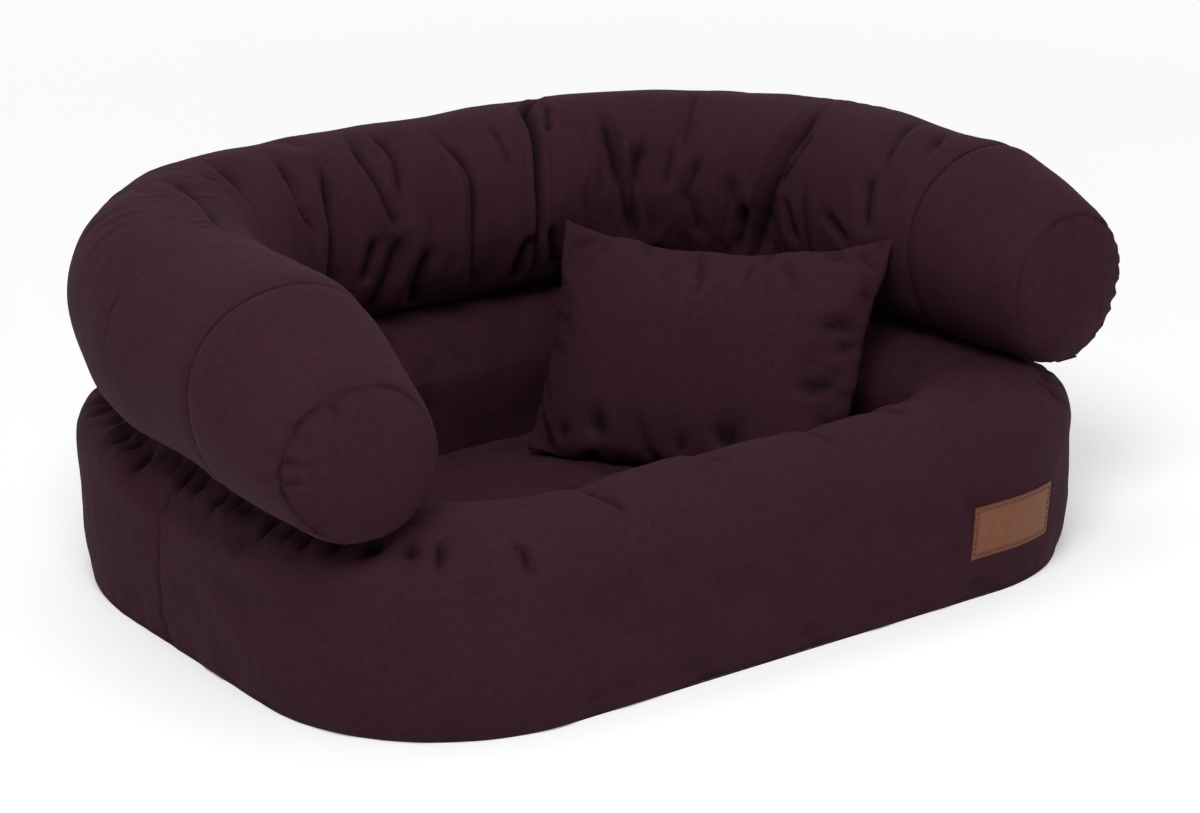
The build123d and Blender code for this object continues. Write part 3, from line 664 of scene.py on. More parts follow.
seatLow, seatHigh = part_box("seat_border")
wall = {
    "half": wallHigh.x,
    "front": wallLow.y,
    "back": rearHigh.y,
    "top": wallHigh.z,
    "bottom": wallLow.z,
    "frontCorner": 0.160,
    "backCorner": 0.235,
    "wellHalf": seatHigh.x + 0.002,
    "wellFront": seatLow.y - 0.002,
    "wellBack": seatHigh.y + 0.002,
    "wellFrontCorner": 0.084,
    "wellBackCorner": 0.130,
    "crestFrontCorner": 0.112,
    "frontSetback": 0.0485,
    "crownDrop": 0.013,
    "shoulder": 0.78,
    "footDraw": 0.007,
    "hemTurn": 0.006,
    "hemHeight": 0.0004,
    "seamY": -0.010,
    "tapeHalf": 0.011,
    "columns": 640,
    "steps": 30,
    # How far the section's control points lie along it
    "crownPull": 0.62,
    "bellyPull": 0.68,
    "lowPull": 0.55,
}


def outlineDistance(outline, x, y):
    half, front, back, frontCorner, backCorner = outline
    atFront = y < (front + back) / 2
    corner = np.where(atFront, frontCorner, backCorner)
    overY = np.where(atFront, front + corner - y, y - back + corner)
    overX = np.abs(x) - half + corner
    outside = np.hypot(np.maximum(overX, 0), np.maximum(overY, 0))
    return outside + np.minimum(np.maximum(overX, overY), 0) - corner


def outlineReach(outline, spots, headings, furthest):
    near, far = np.zeros(len(spots)), np.full(len(spots), furthest)
    startsInside = outlineDistance(outline, spots[:, 0], spots[:, 1]) < 0
    for _ in range(24):
        middle = (near + far) / 2
        probe = spots + headings * middle[:, None]
        same = (outlineDistance(outline, probe[:, 0], probe[:, 1]) < 0) == startsInside
        near, far = np.where(same, middle, near), np.where(same, far, middle)
    return near


def roundedLoop(half, front, back, frontCorner, backCorner, count):
    # Equal steps round a rounded rectangle from the middle of the front, with outward headings
    bits = [
        ("line", (0, front), (half - frontCorner, front), 270),
        ("arc", (half - frontCorner, front + frontCorner), frontCorner, 270),
        ("line", (half, front + frontCorner), (half, back - backCorner), 0),
        ("arc", (half - backCorner, back - backCorner), backCorner, 0),
        ("line", (half - backCorner, back), (backCorner - half, back), 90),
        ("arc", (backCorner - half, back - backCorner), backCorner, 90),
        ("line", (-half, back - backCorner), (-half, front + frontCorner), 180),
        ("arc", (frontCorner - half, front + frontCorner), frontCorner, 180),
        ("line", (frontCorner - half, front), (0, front), 270),
    ]
    lengths = [math.dist(bit[1], bit[2]) if bit[0] == "line" else bit[2] * math.pi / 2 for bit in bits]
    total = sum(lengths)
    spots, headings = [], []
    for step in range(count):
        run = total * step / count
        for bit, length in zip(bits, lengths):
            if run <= length:
                break
            run -= length
        if bit[0] == "line":
            share = run / length
            spots.append([start + (end - start) * share for start, end in zip(bit[1], bit[2])])
            angle = math.radians(bit[3])
        else:
            angle = math.radians(bit[3]) + run / bit[2]
            spots.append([bit[1][0] + bit[2] * math.cos(angle), bit[1][1] + bit[2] * math.sin(angle)])
        headings.append([math.cos(angle), math.sin(angle)])
    return np.array(spots), np.array(headings), total


def bezier(a, b, c, d, shares):
    shares = shares[:, None]
    left = 1 - shares
    return left ** 3 * a + 3 * left ** 2 * shares * b + 3 * left * shares ** 2 * c + shares ** 3 * d


def wallSide(out):
    # Half of the wall's section: from the middle of the crest down to the foot, as (reach, height)
    top, bottom = wall["top"], wall["bottom"]
    shoulder = wall["shoulder"] * out
    slope = 2 * math.atan(wall["crownDrop"] / (shoulder - wall["tapeHalf"]))
    belly = top - wall["crownDrop"] - (out - shoulder) * math.tan((slope + math.pi / 2) / 2)
    side, foot = np.array([out, belly]), np.array([out - wall["footDraw"], bottom])
    shares = np.linspace(0, 1, wall["steps"])
    upper = bezier(np.array([0, top]), np.array([wall["crownPull"] * out, top]),
                   np.array([out, belly + wall["bellyPull"] * (top - belly)]), side, shares)
    lower = bezier(side, np.array([out, belly * wall["lowPull"]]), np.array([out - 0.002, bottom + 0.012]),
                   foot, shares[1:])
    return np.vstack([upper, lower])


crestSpots, crestHeadings, crestLength = roundedLoop(
    roll["half"], wall["front"] + wall["frontSetback"], roll["back"], wall["crestFrontCorner"], roll["cornerRadius"],
    wall["columns"])
outerReach = outlineReach((wall["half"], wall["front"], wall["back"], wall["frontCorner"], wall["backCorner"]),
                          crestSpots, crestHeadings, 0.4)
innerReach = outlineReach((wall["wellHalf"], wall["wellFront"], wall["wellBack"], wall["wellFrontCorner"],
                           wall["wellBackCorner"]), crestSpots, -crestHeadings, 0.2)


def wallGrid():
    grid = []
    for column in range(wall["columns"]):
        outer, inner = wallSide(outerReach[column]), wallSide(innerReach[column])
        hem = np.array([[outer[-1, 0] - wall["hemTurn"], wall["bottom"] + 0.0002], [outer[-1, 0], wall["hemHeight"]]])
        section = np.vstack([hem, outer[-2::-1], inner[1:] * [-1, 1], inner[-1:] * [-1, 1] + [wall["hemTurn"], 0]])
        level = crestSpots[column] + crestHeadings[column] * section[:, :1]
        grid.append(np.hstack([level, section[:, 1:]]))
    return np.array(grid)


wallRound = wallGrid()
wallRows = wallRound.shape[1]


def wallPoint(column, place):
    # place runs from -1 at the inner foot through 0 at the crest to 1 at the outer foot
    spot = (1 - place) / 2 * (wallRows - 1)
    base = int(column) % wall["columns"]
    low = min(int(spot), wallRows - 2)
    return wallRound[base, low] * (1 - spot + low) + wallRound[base, low + 1] * (spot - low)


def nearestColumn(x, y):
    return int(np.argmin(np.hypot(crestSpots[:, 0] - x, crestSpots[:, 1] - y)))


wallFolds = {
    "seed": 3,
    # Puckers under the bolster and longer folds inside. Runs are start, end and what the size adds to the end,
    # and draws are the limits of size, sideways drift in columns and width.
    "pucker": {"pitch": 0.0155, "front": -0.235, "depth": 0.0085, "width": 0.0040, "step": (0.65, 1.4),
               "draws": ((0.35, 1.15), (-2, 2), (1.0, 1.9)), "run": (0.06, 0.20, 0.20), "ends": (0, 0.25, 0.6)},
    "inner": {"pitch": 0.060, "front": 0.02, "depth": 0.0042, "width": 0.0080, "step": (0.6, 1.4),
              "draws": ((0.4, 1.2), (-9, 9), (0.7, 1.3)), "run": (-0.16, -0.45, -0.35)},
    # Puckers that go on inside: how many, depth, width
    "passing": (0.35, 0.35, 1.5),
    "passingRun": (-0.10, -0.34, -0.12),
    # Folds over the front rim: x, start, end, sideways drift in columns, depth, width, lean
    "rimFolds": [
        (-0.165, -0.34, 0.30, 8, 0.007, 0.0065, 1),
        (-0.232, 0.10, 0.52, 4, 0.005, 0.0080, 0),
        (-0.060, -0.30, 0.20, 8, 0.004, 0.0070, 1),
        (0.040, -0.36, 0.22, 7, 0.006, 0.0060, 1),
        (0.125, -0.34, 0.14, 5, 0.004, 0.0060, -1),
        (0.205, -0.40, 0.05, 3, 0.004, 0.0070, 0),
    ],
    # Lumps: height, scale, seed
    "lumps": ((0.0028, 0.20, 8), (0.0008, 0.06, 9)),
    "hemLump": (0.0020, 0.055, 17),
    "hemReach": 0.018,
    # Side seams: depth, width, lean, ridge, taper
    "seamProfile": (0.0018, 0.0022, 0, 0.25, 0.02),
    "seamSlant": 9,
    # How much of the simulated wrinkles is kept low down, where it starts to grow, and what is lost at the front
    "lowShare": 0.22,
    "lowTop": 0.080,
    "frontLoss": 0.65,
}
wallPuff = {"grid": (320, 61), "stretch": 12.0, "bend": 0.5, "pressure": 2.5, "spare": 0.012, "frames": 16,
            "most": 0.008, "blur": 60, "keep": 0.1}


def foldsAlong(kind, dice):
    # Column, drift, size, depth and width of folds at uneven steps round the crest
    column = 0.0
    while column < wall["columns"]:
        if crestSpots[int(column), 1] > kind["front"]:
            size, drift, wide = [dice.uniform(*limits) for limits in kind["draws"]]
            yield column, drift, size, kind["depth"] * size, kind["width"] * wide
        column += kind["pitch"] * dice.uniform(*kind["step"]) / (crestLength / wall["columns"])


def wallLift(points, normals):
    # Lumps, puckers, folds, side seams and the uneven hem
    def fold(column, drift, run, size, depth, width, lean=0, ridge=0.35, taper=0.45):
        low, high, growth = run
        high = high + growth * size
        line = np.array([wallPoint(column + round(drift * share), low + (high - low) * share)
                         for share in np.linspace(0, 1, 14)])
        return creaseLift(points, normals, line, depth, width, lean, ridge, taper)

    lift = lumps(points, wallFolds["lumps"])
    dice = np.random.default_rng(wallFolds["seed"])
    pucker, inner = wallFolds["pucker"], wallFolds["inner"]
    chance, shallower, wider = wallFolds["passing"]
    for column, drift, size, depth, width in foldsAlong(pucker, dice):
        lift += fold(column, drift, pucker["run"], size, depth, width, *pucker["ends"])
        if dice.uniform() < chance:
            lift += fold(column, -drift, wallFolds["passingRun"], size, depth * shallower, width * wider)
    for column, drift, size, depth, width in foldsAlong(inner, dice):
        lift += fold(column, drift, inner["run"], size, depth, width, int(dice.integers(-1, 2)))
    for x, low, high, drift, depth, width, lean in wallFolds["rimFolds"]:
        column = nearestColumn(x, wall["front"] + wall["frontSetback"])
        lift += fold(column, drift, (low, high, 0), 0, depth, width, lean)
    for side in (-1, 1):
        start = nearestColumn(side * roll["half"], wall["seamY"])
        line = np.array([wallPoint(start + round(side * wallFolds["seamSlant"] * (abs(place) - 0.5)), place)
                         for place in np.linspace(-0.98, 0.98, 60)])
        lift += creaseLift(points, normals, line, *wallFolds["seamProfile"])
    hem = np.exp(-((points[..., 2] - wall["bottom"]) / wallFolds["hemReach"]) ** 2)
    return lift + hem * lumps(points, [wallFolds["hemLump"]])


def wallShape():
    points = wallRound.copy()
    around = (True, True)
    normals = gridNormals(points, around)
    puckerFront = wallFolds["pucker"]["front"]
    onTape = np.abs(np.arange(wallRows) - wallRows // 2) <= 5
    underRoll = onTape[None, :] & (crestSpots[:, 1] > puckerFront)[:, None]
    held = (points[..., 2] < wall["bottom"] + 0.003) | underRoll
    moved = blurred(puffed(points, held, around, False, wallPuff), 4, around)
    high = smoothStep((points[..., 2] - wallFolds["lowTop"]) / 0.05)
    frontShare = smoothStep((puckerFront + 0.02 - crestSpots[:, 1:]) / 0.03)
    kept = wallFolds["lowShare"] + (1 - wallFolds["lowShare"]) * high
    moved *= (kept * (1 - wallFolds["frontLoss"] * frontShare))[..., None]
    offset = moved + normals * wallLift(points, normals)[..., None]
    offset *= (calmRound(points, "label_patch") * calmRound(points, "wall_zip_tape"))[..., None]
    offset -= normals * fittings["slotDepth"] * slotRound(points, "wall_zip_tape")[..., None]
    offset[..., 2] *= smoothStep((points[..., 2] - wall["bottom"] - 0.001) / 0.014)
    floorLevel = np.minimum(points[..., 2], wall["bottom"])
    points = points + offset
    points[..., 2] = np.clip(points[..., 2], floorLevel, wall["top"] + 0.004)
    points[..., 2] = np.where(underRoll, np.minimum(points[..., 2], wall["top"]), points[..., 2])
    return points


wallCover = gridPiece("wallCover", wallShape(), (True, True))
print("wall made")


# Seat cushion: a crowned form with a rounded border, in rings from its middle

seat = {
    "half": seatHigh.x,
    "front": seatLow.y,
    "back": seatHigh.y,
    "bottom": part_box("seat_bottom_cover")[0].z,
    "edge": 0.042,
    "top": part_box("seat_top_cover")[1].z,
    "frontCorner": 0.082,
    "backCorner": 0.128,
    "edgeDraw": 0.010,
    "columns": 220,
    "topRows": 44,
    "squareness": 2.6,
    "lumps": ((0.0016, 0.13, 31), (0.0006, 0.05, 32)),
}
seatPuff = {"grid": (60, 110), "stretch": 12.0, "bend": 0.6, "pressure": 2.0, "spare": 0.012, "frames": 12,
            "most": 0.005, "blur": 30, "keep": 0.2}


def seatShape():
    outline, headings, _ = roundedLoop(
        *(seat[key] for key in ("half", "front", "back", "frontCorner", "backCorner", "columns")))
    middle = np.array([0, (seat["front"] + seat["back"]) / 2])
    inner = outline - headings * seat["edgeDraw"]
    grid = []
    for share in np.linspace(0.015, 1, seat["topRows"]) ** 0.85:
        level = middle + (inner - middle) * share
        across = (level - middle) / [seat["half"], (seat["back"] - seat["front"]) / 2]
        crown = (1 - np.clip((np.abs(across) ** seat["squareness"]).sum(-1), 0, 1)) ** 0.8
        grid.append(np.column_stack([level, seat["edge"] + (seat["top"] - seat["edge"]) * crown]))
    bottom, edge = seat["bottom"], seat["edge"]
    for angle in np.linspace(90, -90, 13)[1:]:
        turn = math.radians(angle)
        level = outline - headings * seat["edgeDraw"] * (1 - math.cos(turn))
        height = (bottom + edge) / 2 + (edge - bottom) / 2 * math.sin(turn)
        grid.append(np.column_stack([level, np.full(len(level), height)]))
    for share in (0.8, 0.5, 0.2):
        level = middle + (inner - middle) * share
        grid.append(np.column_stack([level, np.full(len(level), bottom)]))
    points = np.array(grid)
    held = points[..., 2] < 0.6 * seat["edge"]
    moved = puffed(points, held, (False, True), False, seatPuff)
    rows = seat["topRows"]
    fade = smoothStep(np.linspace(1, 0, rows) * 6)[:, None]
    points[:rows, :, 2] += lumps(points[:rows], seat["lumps"]) * fade
    points[..., 1] -= fittings["seatSlotDepth"] * slotRound(points, "seat_zip_tape")
    points = points + moved
    points[..., 2] = np.maximum(points[..., 2], bottom)
    topHub = np.append(middle, points[0, :, 2].mean())
    return points, [(0, topHub), (len(points) - 1, np.append(middle, bottom))]


seatPoints, seatHubs = seatShape()
seatCushion = gridPiece("seatCushion", seatPoints, (False, True), False, seatHubs, ((1, 0, 0), (0, 1, 0)))
print("seat made")


# Pillow: two panels sewn together round drawn-in edges, wrinkled by a simulation that holds the edge

pillow = {
    "width": 0.270,
    "height": 0.198,
    "thickness": 0.086,
    "centre": (0.082, -0.054),
    "turn": -56.0,
    "lean": 29.0,
    "step": 0.0045,
    "squareness": 2.3,
    "fullness": 0.62,
    # How far the middle of each edge is drawn in
    "topDraw": 0.021,
    "bottomDraw": -0.003,
    "leftDraw": 0.007,
    "rightDraw": 0.006,
    "edgeWobble": 0.0022,
    "edgeLump": (0.0016, 0.03, 61),
    "rightEar": (0.011, 0.010),
    "sag": 0.20,
    "belly": 0.020,
    # Creases from the seams on the front: from and to as shares of half the size, depth, width, lean
    "creases": [
        ((0.97, 0.34), (0.66, 0.20), 0.008, 0.0050, 1),
        ((0.97, 0.10), (0.80, 0.08), 0.005, 0.0045, 0),
        ((0.97, -0.24), (0.58, -0.30), 0.011, 0.0050, -1),
        ((0.95, -0.56), (0.78, -0.50), 0.007, 0.0050, 0),
        ((-0.42, -0.94), (-0.54, -0.56), 0.010, 0.0055, 1),
        ((-0.70, -0.94), (-0.75, -0.72), 0.007, 0.0050, 0),
        ((0.38, -0.94), (0.20, -0.60), 0.010, 0.0060, -1),
        ((0.05, -0.94), (0.02, -0.76), 0.006, 0.0055, 0),
        ((-0.10, 0.92), (-0.06, 0.70), 0.003, 0.0060, 0),
    ],
}
pillowPuff = {"stretch": 14.0, "bend": 0.3, "pressure": 4.0, "spare": 0.03, "frames": 24, "most": 0.010}
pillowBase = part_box("pillow_front_cover")[0].z + 0.001


def pillowPanels():
    columns, rows = round(pillow["width"] / pillow["step"]), round(pillow["height"] / pillow["step"])
    across, high = np.meshgrid(np.linspace(-1, 1, columns + 1), np.linspace(-1, 1, rows + 1), indexing="ij")
    upper, rightward = (high + 1) / 2, (across + 1) / 2
    drawUp = pillow["bottomDraw"] + (pillow["topDraw"] - pillow["bottomDraw"]) * upper
    drawAcross = pillow["leftDraw"] + (pillow["rightDraw"] - pillow["leftDraw"]) * rightward
    x = across * (pillow["width"] / 2 - drawAcross * (1 - high ** 2))
    y = high * (pillow["height"] / 2 - drawUp * (1 - across ** 2) ** 0.8)
    outwards = np.maximum(np.abs(across), np.abs(high))
    edge = outwards > 1 - 1e-9
    spots = np.stack([x, y, np.zeros_like(x)], axis=-1)
    wobble = pillow["edgeWobble"] * outwards ** 6 * softNoise(spots, 0.04, 62)
    corner = (np.abs(across) * np.abs(high)) ** 4
    x = x + wobble * across * (1 - corner)
    y = y + wobble * high * (1 - corner)
    x = x + pillow["rightEar"][0] * (rightward * upper) ** 1.5
    y = y + pillow["rightEar"][1] * (rightward * upper) ** 1.5
    power = pillow["squareness"]
    swell = ((1 - np.abs(across) ** power) * (1 - np.abs(high) ** power)) ** pillow["fullness"]
    swell = pillow["thickness"] / 2 * swell
    return x, y, np.where(edge, 0, swell), edge


def pillowMesh():
    x, y, swell, edge = pillowPanels()
    frontIndex = np.arange(x.size).reshape(x.shape)
    backIndex = frontIndex.copy()
    backIndex[~edge] = x.size + np.arange((~edge).sum())
    front, back = np.stack([x, y, swell], axis=-1), np.stack([x, y, -swell], axis=-1)
    points = np.vstack([front.reshape(-1, 3), back[~edge]])
    faces = np.vstack([quads(frontIndex).reshape(-1, 4), quads(backIndex).reshape(-1, 4)[:, ::-1]])
    flat = quads(np.stack([x, y], axis=-1)).reshape(-1, 4, 2)
    return points, faces.tolist(), np.vstack([flat, flat[:, ::-1]]), edge, frontIndex, backIndex


def pillowShape():
    points, faces, cloth, edge, frontIndex, backIndex = pillowMesh()
    held = np.zeros(len(points), bool)
    held[frontIndex[edge]] = True
    points = points + inflated(points, faces, held, pillowPuff)
    size = np.array([pillow["width"], pillow["height"], pillow["thickness"]])
    points[:, 2] *= size[2] / (points[:, 2].max() - points[:, 2].min())
    share = points / (size / 2)
    points[:, 2] *= 1 - pillow["sag"] * share[:, 1]
    points[:, 1] -= pillow["belly"] * smoothStep(-1.3 * share[:, 1]) * np.clip(points[:, 2] / 0.03, 0, 1)
    flat = points * [1, 1, 0]
    front = np.clip(points[:, 2] / 0.006, 0, 1)
    facing = np.broadcast_to(up, points.shape)
    for start, end, depth, width, lean in pillow["creases"]:
        line = smoothLine([np.append(start, 0) * size / 2, np.append(end, 0) * size / 2], 8)
        points[:, 2] += front * creaseLift(flat, facing, line, depth, width, lean, 0.35, 0.6)
    edgeIndex = frontIndex[edge]
    points[edgeIndex, 2] += lumps(points[edgeIndex], [pillow["edgeLump"]])
    # Painted shade in the pillow's creases, darkest at the bottom of each crease
    paintedShadeAndSeams = np.zeros(len(points))
    paintedShadeAndSeams[frontIndex] = paintedCreaseShade(points[frontIndex], (False, False), False, 4)
    paintedShadeAndSeams[backIndex[1:-1, 1:-1]] = paintedCreaseShade(points[backIndex], (False, False), True, 4)[1:-1, 1:-1]
    return points, faces, cloth, paintedShadeAndSeams


def placePillow(points):
    turn, lean = math.radians(pillow["turn"]), math.radians(pillow["lean"])
    along = np.array([math.cos(turn), math.sin(turn), 0])
    behind = np.array([-math.sin(turn), math.cos(turn), 0])
    rise = up * math.cos(lean) + behind * math.sin(lean)
    front = np.cross(along, rise)
    base = np.array([*pillow["centre"], pillowBase])
    placed = base + points[:, :1] * along + (points[:, 1:2] + pillow["height"] / 2) * rise + points[:, 2:] * front
    placed[:, 2] = np.maximum(placed[:, 2], pillowBase)
    return placed


pillowPoints, pillowFaces, pillowCloth, pillowPaintedShade = pillowShape()
pillowPiece = makeMesh("pillowCover", placePillow(pillowPoints), pillowFaces, pillowCloth, pillowPaintedShade)
print("pillow made")


# Materials

def linear(red, green, blue):
    def channel(value):
        value = value / 255
        return value / 12.92 if value <= 0.04045 else ((value + 0.055) / 1.055) ** 2.4
    return (channel(red), channel(green), channel(blue), 1.0)


def nodeAdder(owner):
    nodes, links = owner.node_tree.nodes, owner.node_tree.links

    def add(kind, inputs=None, **values):
        # A node given as an input stands for its first output
        node = nodes.new("ShaderNode" + kind)
        for key, value in values.items():
            setattr(node, key, value)
        for key, value in (inputs or {}).items():
            if isinstance(value, bpy.types.Node):
                value = value.outputs[0]
            if isinstance(value, bpy.types.NodeSocket):
                links.new(value, node.inputs[key])
            else:
                node.inputs[key].default_value = value
        return node
    return add


def maths(add, operation, *values):
    return add("Math", dict(enumerate(values)), operation=operation)


def vectorMaths(add, operation, *values):
    return add("VectorMath", dict(enumerate(values)), operation=operation)


def ranged(add, value, low, high, start=0.0, end=1.0):
    return add("MapRange", {"Value": value, "From Min": low, "From Max": high, "To Min": start, "To Max": end})


def noise(add, place, scale, detail, distortion=0.0):
    return add("TexNoise", {"Vector": place, "Scale": scale, "Detail": detail, "Distortion": distortion})


def mixed(add, share, low, high):
    return add("Mix", {0: share, 6: low, 7: high}, data_type="RGBA").outputs[2]


def bumped(add, height, strength, distance, under=None):
    inputs = {"Height": height, "Strength": strength, "Distance": distance}
    return add("Bump", dict(inputs, Normal=under) if under else inputs)


def emptyMaterial(name):
    material = bpy.data.materials.new(name)
    material.use_nodes = True
    material.node_tree.nodes.clear()
    return material, nodeAdder(material)


def finishMaterial(add, colour, roughness, bump, more):
    shader = add("BsdfPrincipled", {"Base Color": colour, "Roughness": roughness, "Normal": bump, **more})
    add("OutputMaterial", {"Surface": shader})


plumCloth = {
    "light": linear(67, 37, 48),
    "dark": linear(43, 22, 30),
    # Colour of the painted shade in creases and seam grooves, also used for the seams' dark lines, and how much of it
    # is mixed in at most
    "shadeAndSeamColour": linear(20, 9, 13),
    "shadeAndSeamShare": 0.88,
    "thread": 0.0011,
    "weaveDepth": 0.00014,
    # Slubs, mottling and patches: scale, detail, share of the tone
    "textures": ((640.0, 3.0, 0.55), (150.0, 4.0, 0.40), (14.0, 2.0, 0.20)),
    "weaveTone": 0.05,
    "toneRange": (0.72, 1.44),
    "slubHeight": 2.4,
    # Scale, detail, distortion
    "wrinkles": (30.0, 5.0, 0.6),
    "creaseDepth": 0.0010,
    "sheen": 0.03,
    "sheenTint": linear(128, 74, 104),
    "roughness": 0.9,
}


def clothMaterial(name, settings, coordinates="UV"):
    material, add = emptyMaterial(name)
    place = add("TexCoord")
    body = place.outputs["Object"]
    spot = add("SeparateXYZ", {0: place.outputs[coordinates]})
    threads = [maths(add, "MULTIPLY", spot.outputs[axis], math.pi / settings["thread"]) for axis in (0, 1)]
    crossing = maths(add, "MULTIPLY", *[maths(add, "SINE", thread) for thread in threads])
    textures = [noise(add, body, scale, detail) for scale, detail, _ in settings["textures"]]
    tone = maths(add, "MULTIPLY_ADD", crossing, settings["weaveTone"], 0.5)
    for texture, (_, _, share) in zip(textures, settings["textures"]):
        tone = maths(add, "MULTIPLY_ADD", texture, share, tone)
    share = ranged(add, tone, *settings["toneRange"])
    colour = mixed(add, share, settings["dark"], settings["light"])
    # Painted shade: the colour is darkened towards the shade colour in creases and along the seams
    paintedShadeAndSeams = add("Attribute", attribute_name="paintedShadeAndSeams")
    paintedShadeAndSeams = maths(add, "MULTIPLY", paintedShadeAndSeams.outputs["Fac"], settings["shadeAndSeamShare"])
    colour = mixed(add, paintedShadeAndSeams, colour, settings["shadeAndSeamColour"])
    creases = bumped(add, noise(add, body, *settings["wrinkles"]), 0.5, settings["creaseDepth"])
    height = maths(add, "MULTIPLY_ADD", textures[0], settings["slubHeight"], crossing)
    bump = bumped(add, height, 0.6, settings["weaveDepth"], creases)
    finishMaterial(add, colour, settings["roughness"], bump, {
        "Sheen Weight": settings["sheen"], "Sheen Roughness": 0.45, "Sheen Tint": settings["sheenTint"],
        "Specular IOR Level": 0.08})
    return material


labelLow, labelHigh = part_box("label_patch")
leather = {
    "light": linear(132, 78, 48),
    "dark": linear(96, 54, 32),
    "edge": linear(82, 34, 22),
    "edgeWidth": 0.0016,
    "border": 0.0046,
    "borderWidth": 0.0006,
    "grain": 900.0,
    "grainDepth": 0.00012,
    "stain": 120.0,
    "roughness": (0.5, 0.72),
}


def leatherMaterial(name, settings):
    # Brown patch with a pebbled grain, a darker cut edge and a pressed line inside it
    material, add = emptyMaterial(name)
    place = add("TexCoord").outputs["Object"]
    spot = add("SeparateXYZ", {0: place})
    toEdge = []
    for axis in (0, 2):
        middle, half = (labelLow[axis] + labelHigh[axis]) / 2, (labelHigh[axis] - labelLow[axis]) / 2
        away = maths(add, "ABSOLUTE", maths(add, "SUBTRACT", spot.outputs[axis], middle))
        toEdge.append(maths(add, "SUBTRACT", half, away))
    depth = maths(add, "MINIMUM", *toEdge)
    cut = ranged(add, depth, settings["edgeWidth"], settings["edgeWidth"] * 0.4)
    fromLine = maths(add, "ABSOLUTE", maths(add, "SUBTRACT", depth, settings["border"]))
    line = ranged(add, fromLine, settings["borderWidth"], 0.0)
    dark = maths(add, "MAXIMUM", cut, line)
    pebbles = add("TexVoronoi", {"Vector": place, "Scale": settings["grain"]})
    stain = noise(add, place, settings["stain"], 5.0)
    colour = mixed(add, dark, mixed(add, stain, settings["dark"], settings["light"]), settings["edge"])
    bump = bumped(add, maths(add, "SUBTRACT", pebbles, line), 0.6, settings["grainDepth"])
    rough = ranged(add, stain, 0.0, 1.0, *settings["roughness"])
    finishMaterial(add, colour, rough, bump, {"Specular IOR Level": 0.35})
    return material


smallParts = {
    # colour, darker colour, noise scale, roughness, metallic, bump depth
    "thread": (linear(96, 40, 24), linear(58, 22, 15), 2600.0, 0.75, 0.0, 0.00010),
    "teeth": (linear(46, 28, 34), linear(30, 18, 22), 1400.0, 0.38, 0.0, 0.00004),
    "metal": (linear(64, 44, 50), linear(44, 29, 34), 900.0, 0.30, 0.75, 0.00003),
}


def smallMaterial(name, light, dark, scale, roughness, metallic, depth):
    material, add = emptyMaterial(name)
    place = add("TexCoord").outputs["Object"]
    speck, worn = noise(add, place, scale, 3.0), noise(add, place, scale / 9, 3.0)
    rough = ranged(add, worn, 0.0, 1.0, roughness * 0.8, roughness * 1.25)
    finishMaterial(add, mixed(add, speck, dark, light), rough, bumped(add, speck, 0.6, depth), {"Metallic": metallic})
    return material


grip = {"cloth": linear(30, 28, 30), "dots": linear(14, 13, 14), "pitch": 0.009, "dotShare": 0.30, "dotDepth": 0.0006,
        "weave": 900.0, "roughness": (0.95, 0.55)}


def gripMaterial(name, settings):
    # Non-slip sheet: coarse cloth with rows of raised rubber dots
    material, add = emptyMaterial(name)
    place = add("TexCoord").outputs["Object"]
    sheet = vectorMaths(add, "MULTIPLY", place, (1 / settings["pitch"],) * 3)
    cell = vectorMaths(add, "FRACTION", vectorMaths(add, "MULTIPLY", sheet, (1, 1, 0)))
    away = vectorMaths(add, "DISTANCE", cell, (0.5, 0.5, 0))
    dot = ranged(add, away.outputs["Value"], settings["dotShare"] * 1.15, settings["dotShare"] * 0.85)
    weave = noise(add, place, settings["weave"], 2.0)
    colour = mixed(add, dot, mixed(add, weave, settings["dots"], settings["cloth"]), settings["dots"])
    bump = bumped(add, maths(add, "MULTIPLY_ADD", weave, 0.2, dot), 0.8, settings["dotDepth"])
    finishMaterial(add, colour, ranged(add, dot, 0.0, 1.0, *settings["roughness"]), bump, {})
    return material


plum = clothMaterial("plumCloth", plumCloth)
tapeCloth = dict(plumCloth, light=linear(52, 31, 38), dark=linear(32, 18, 23), thread=0.0008, creaseDepth=0.0001,
                 sheen=0.05)
tape = clothMaterial("tapeCloth", tapeCloth, "Object")


def dress(piece, material, slotName, body, *nodes):
    piece.data.materials.clear()
    piece.data.materials.append(material)
    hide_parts(*nodes)
    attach(piece, body)


dress(bolsterBack, plum, "plum_cloth", "root", "bolster_back_cover", "bolster_filling")
for index, name in enumerate(("right", "left")):
    dress(bolsterArms[index], plum, "plum_cloth", "root", "bolster_" + name + "_arm_cover")
    dress(bolsterCaps[index], plum, "plum_cloth", "root", "bolster_" + name + "_end_cap")
dress(wallCover, plum, "plum_cloth", "root", "wall_front_cover", "wall_rear_cover", "wall_filling")
dress(subdivided(seatCushion), plum, "plum_cloth", "seat_cushion",
      "seat_top_cover", "seat_border", "seat_bottom_cover", "seat_filling")
dress(subdivided(pillowPiece), plum, "plum_cloth", "pillow",
      "pillow_front_cover", "pillow_back_cover", "pillow_filling")

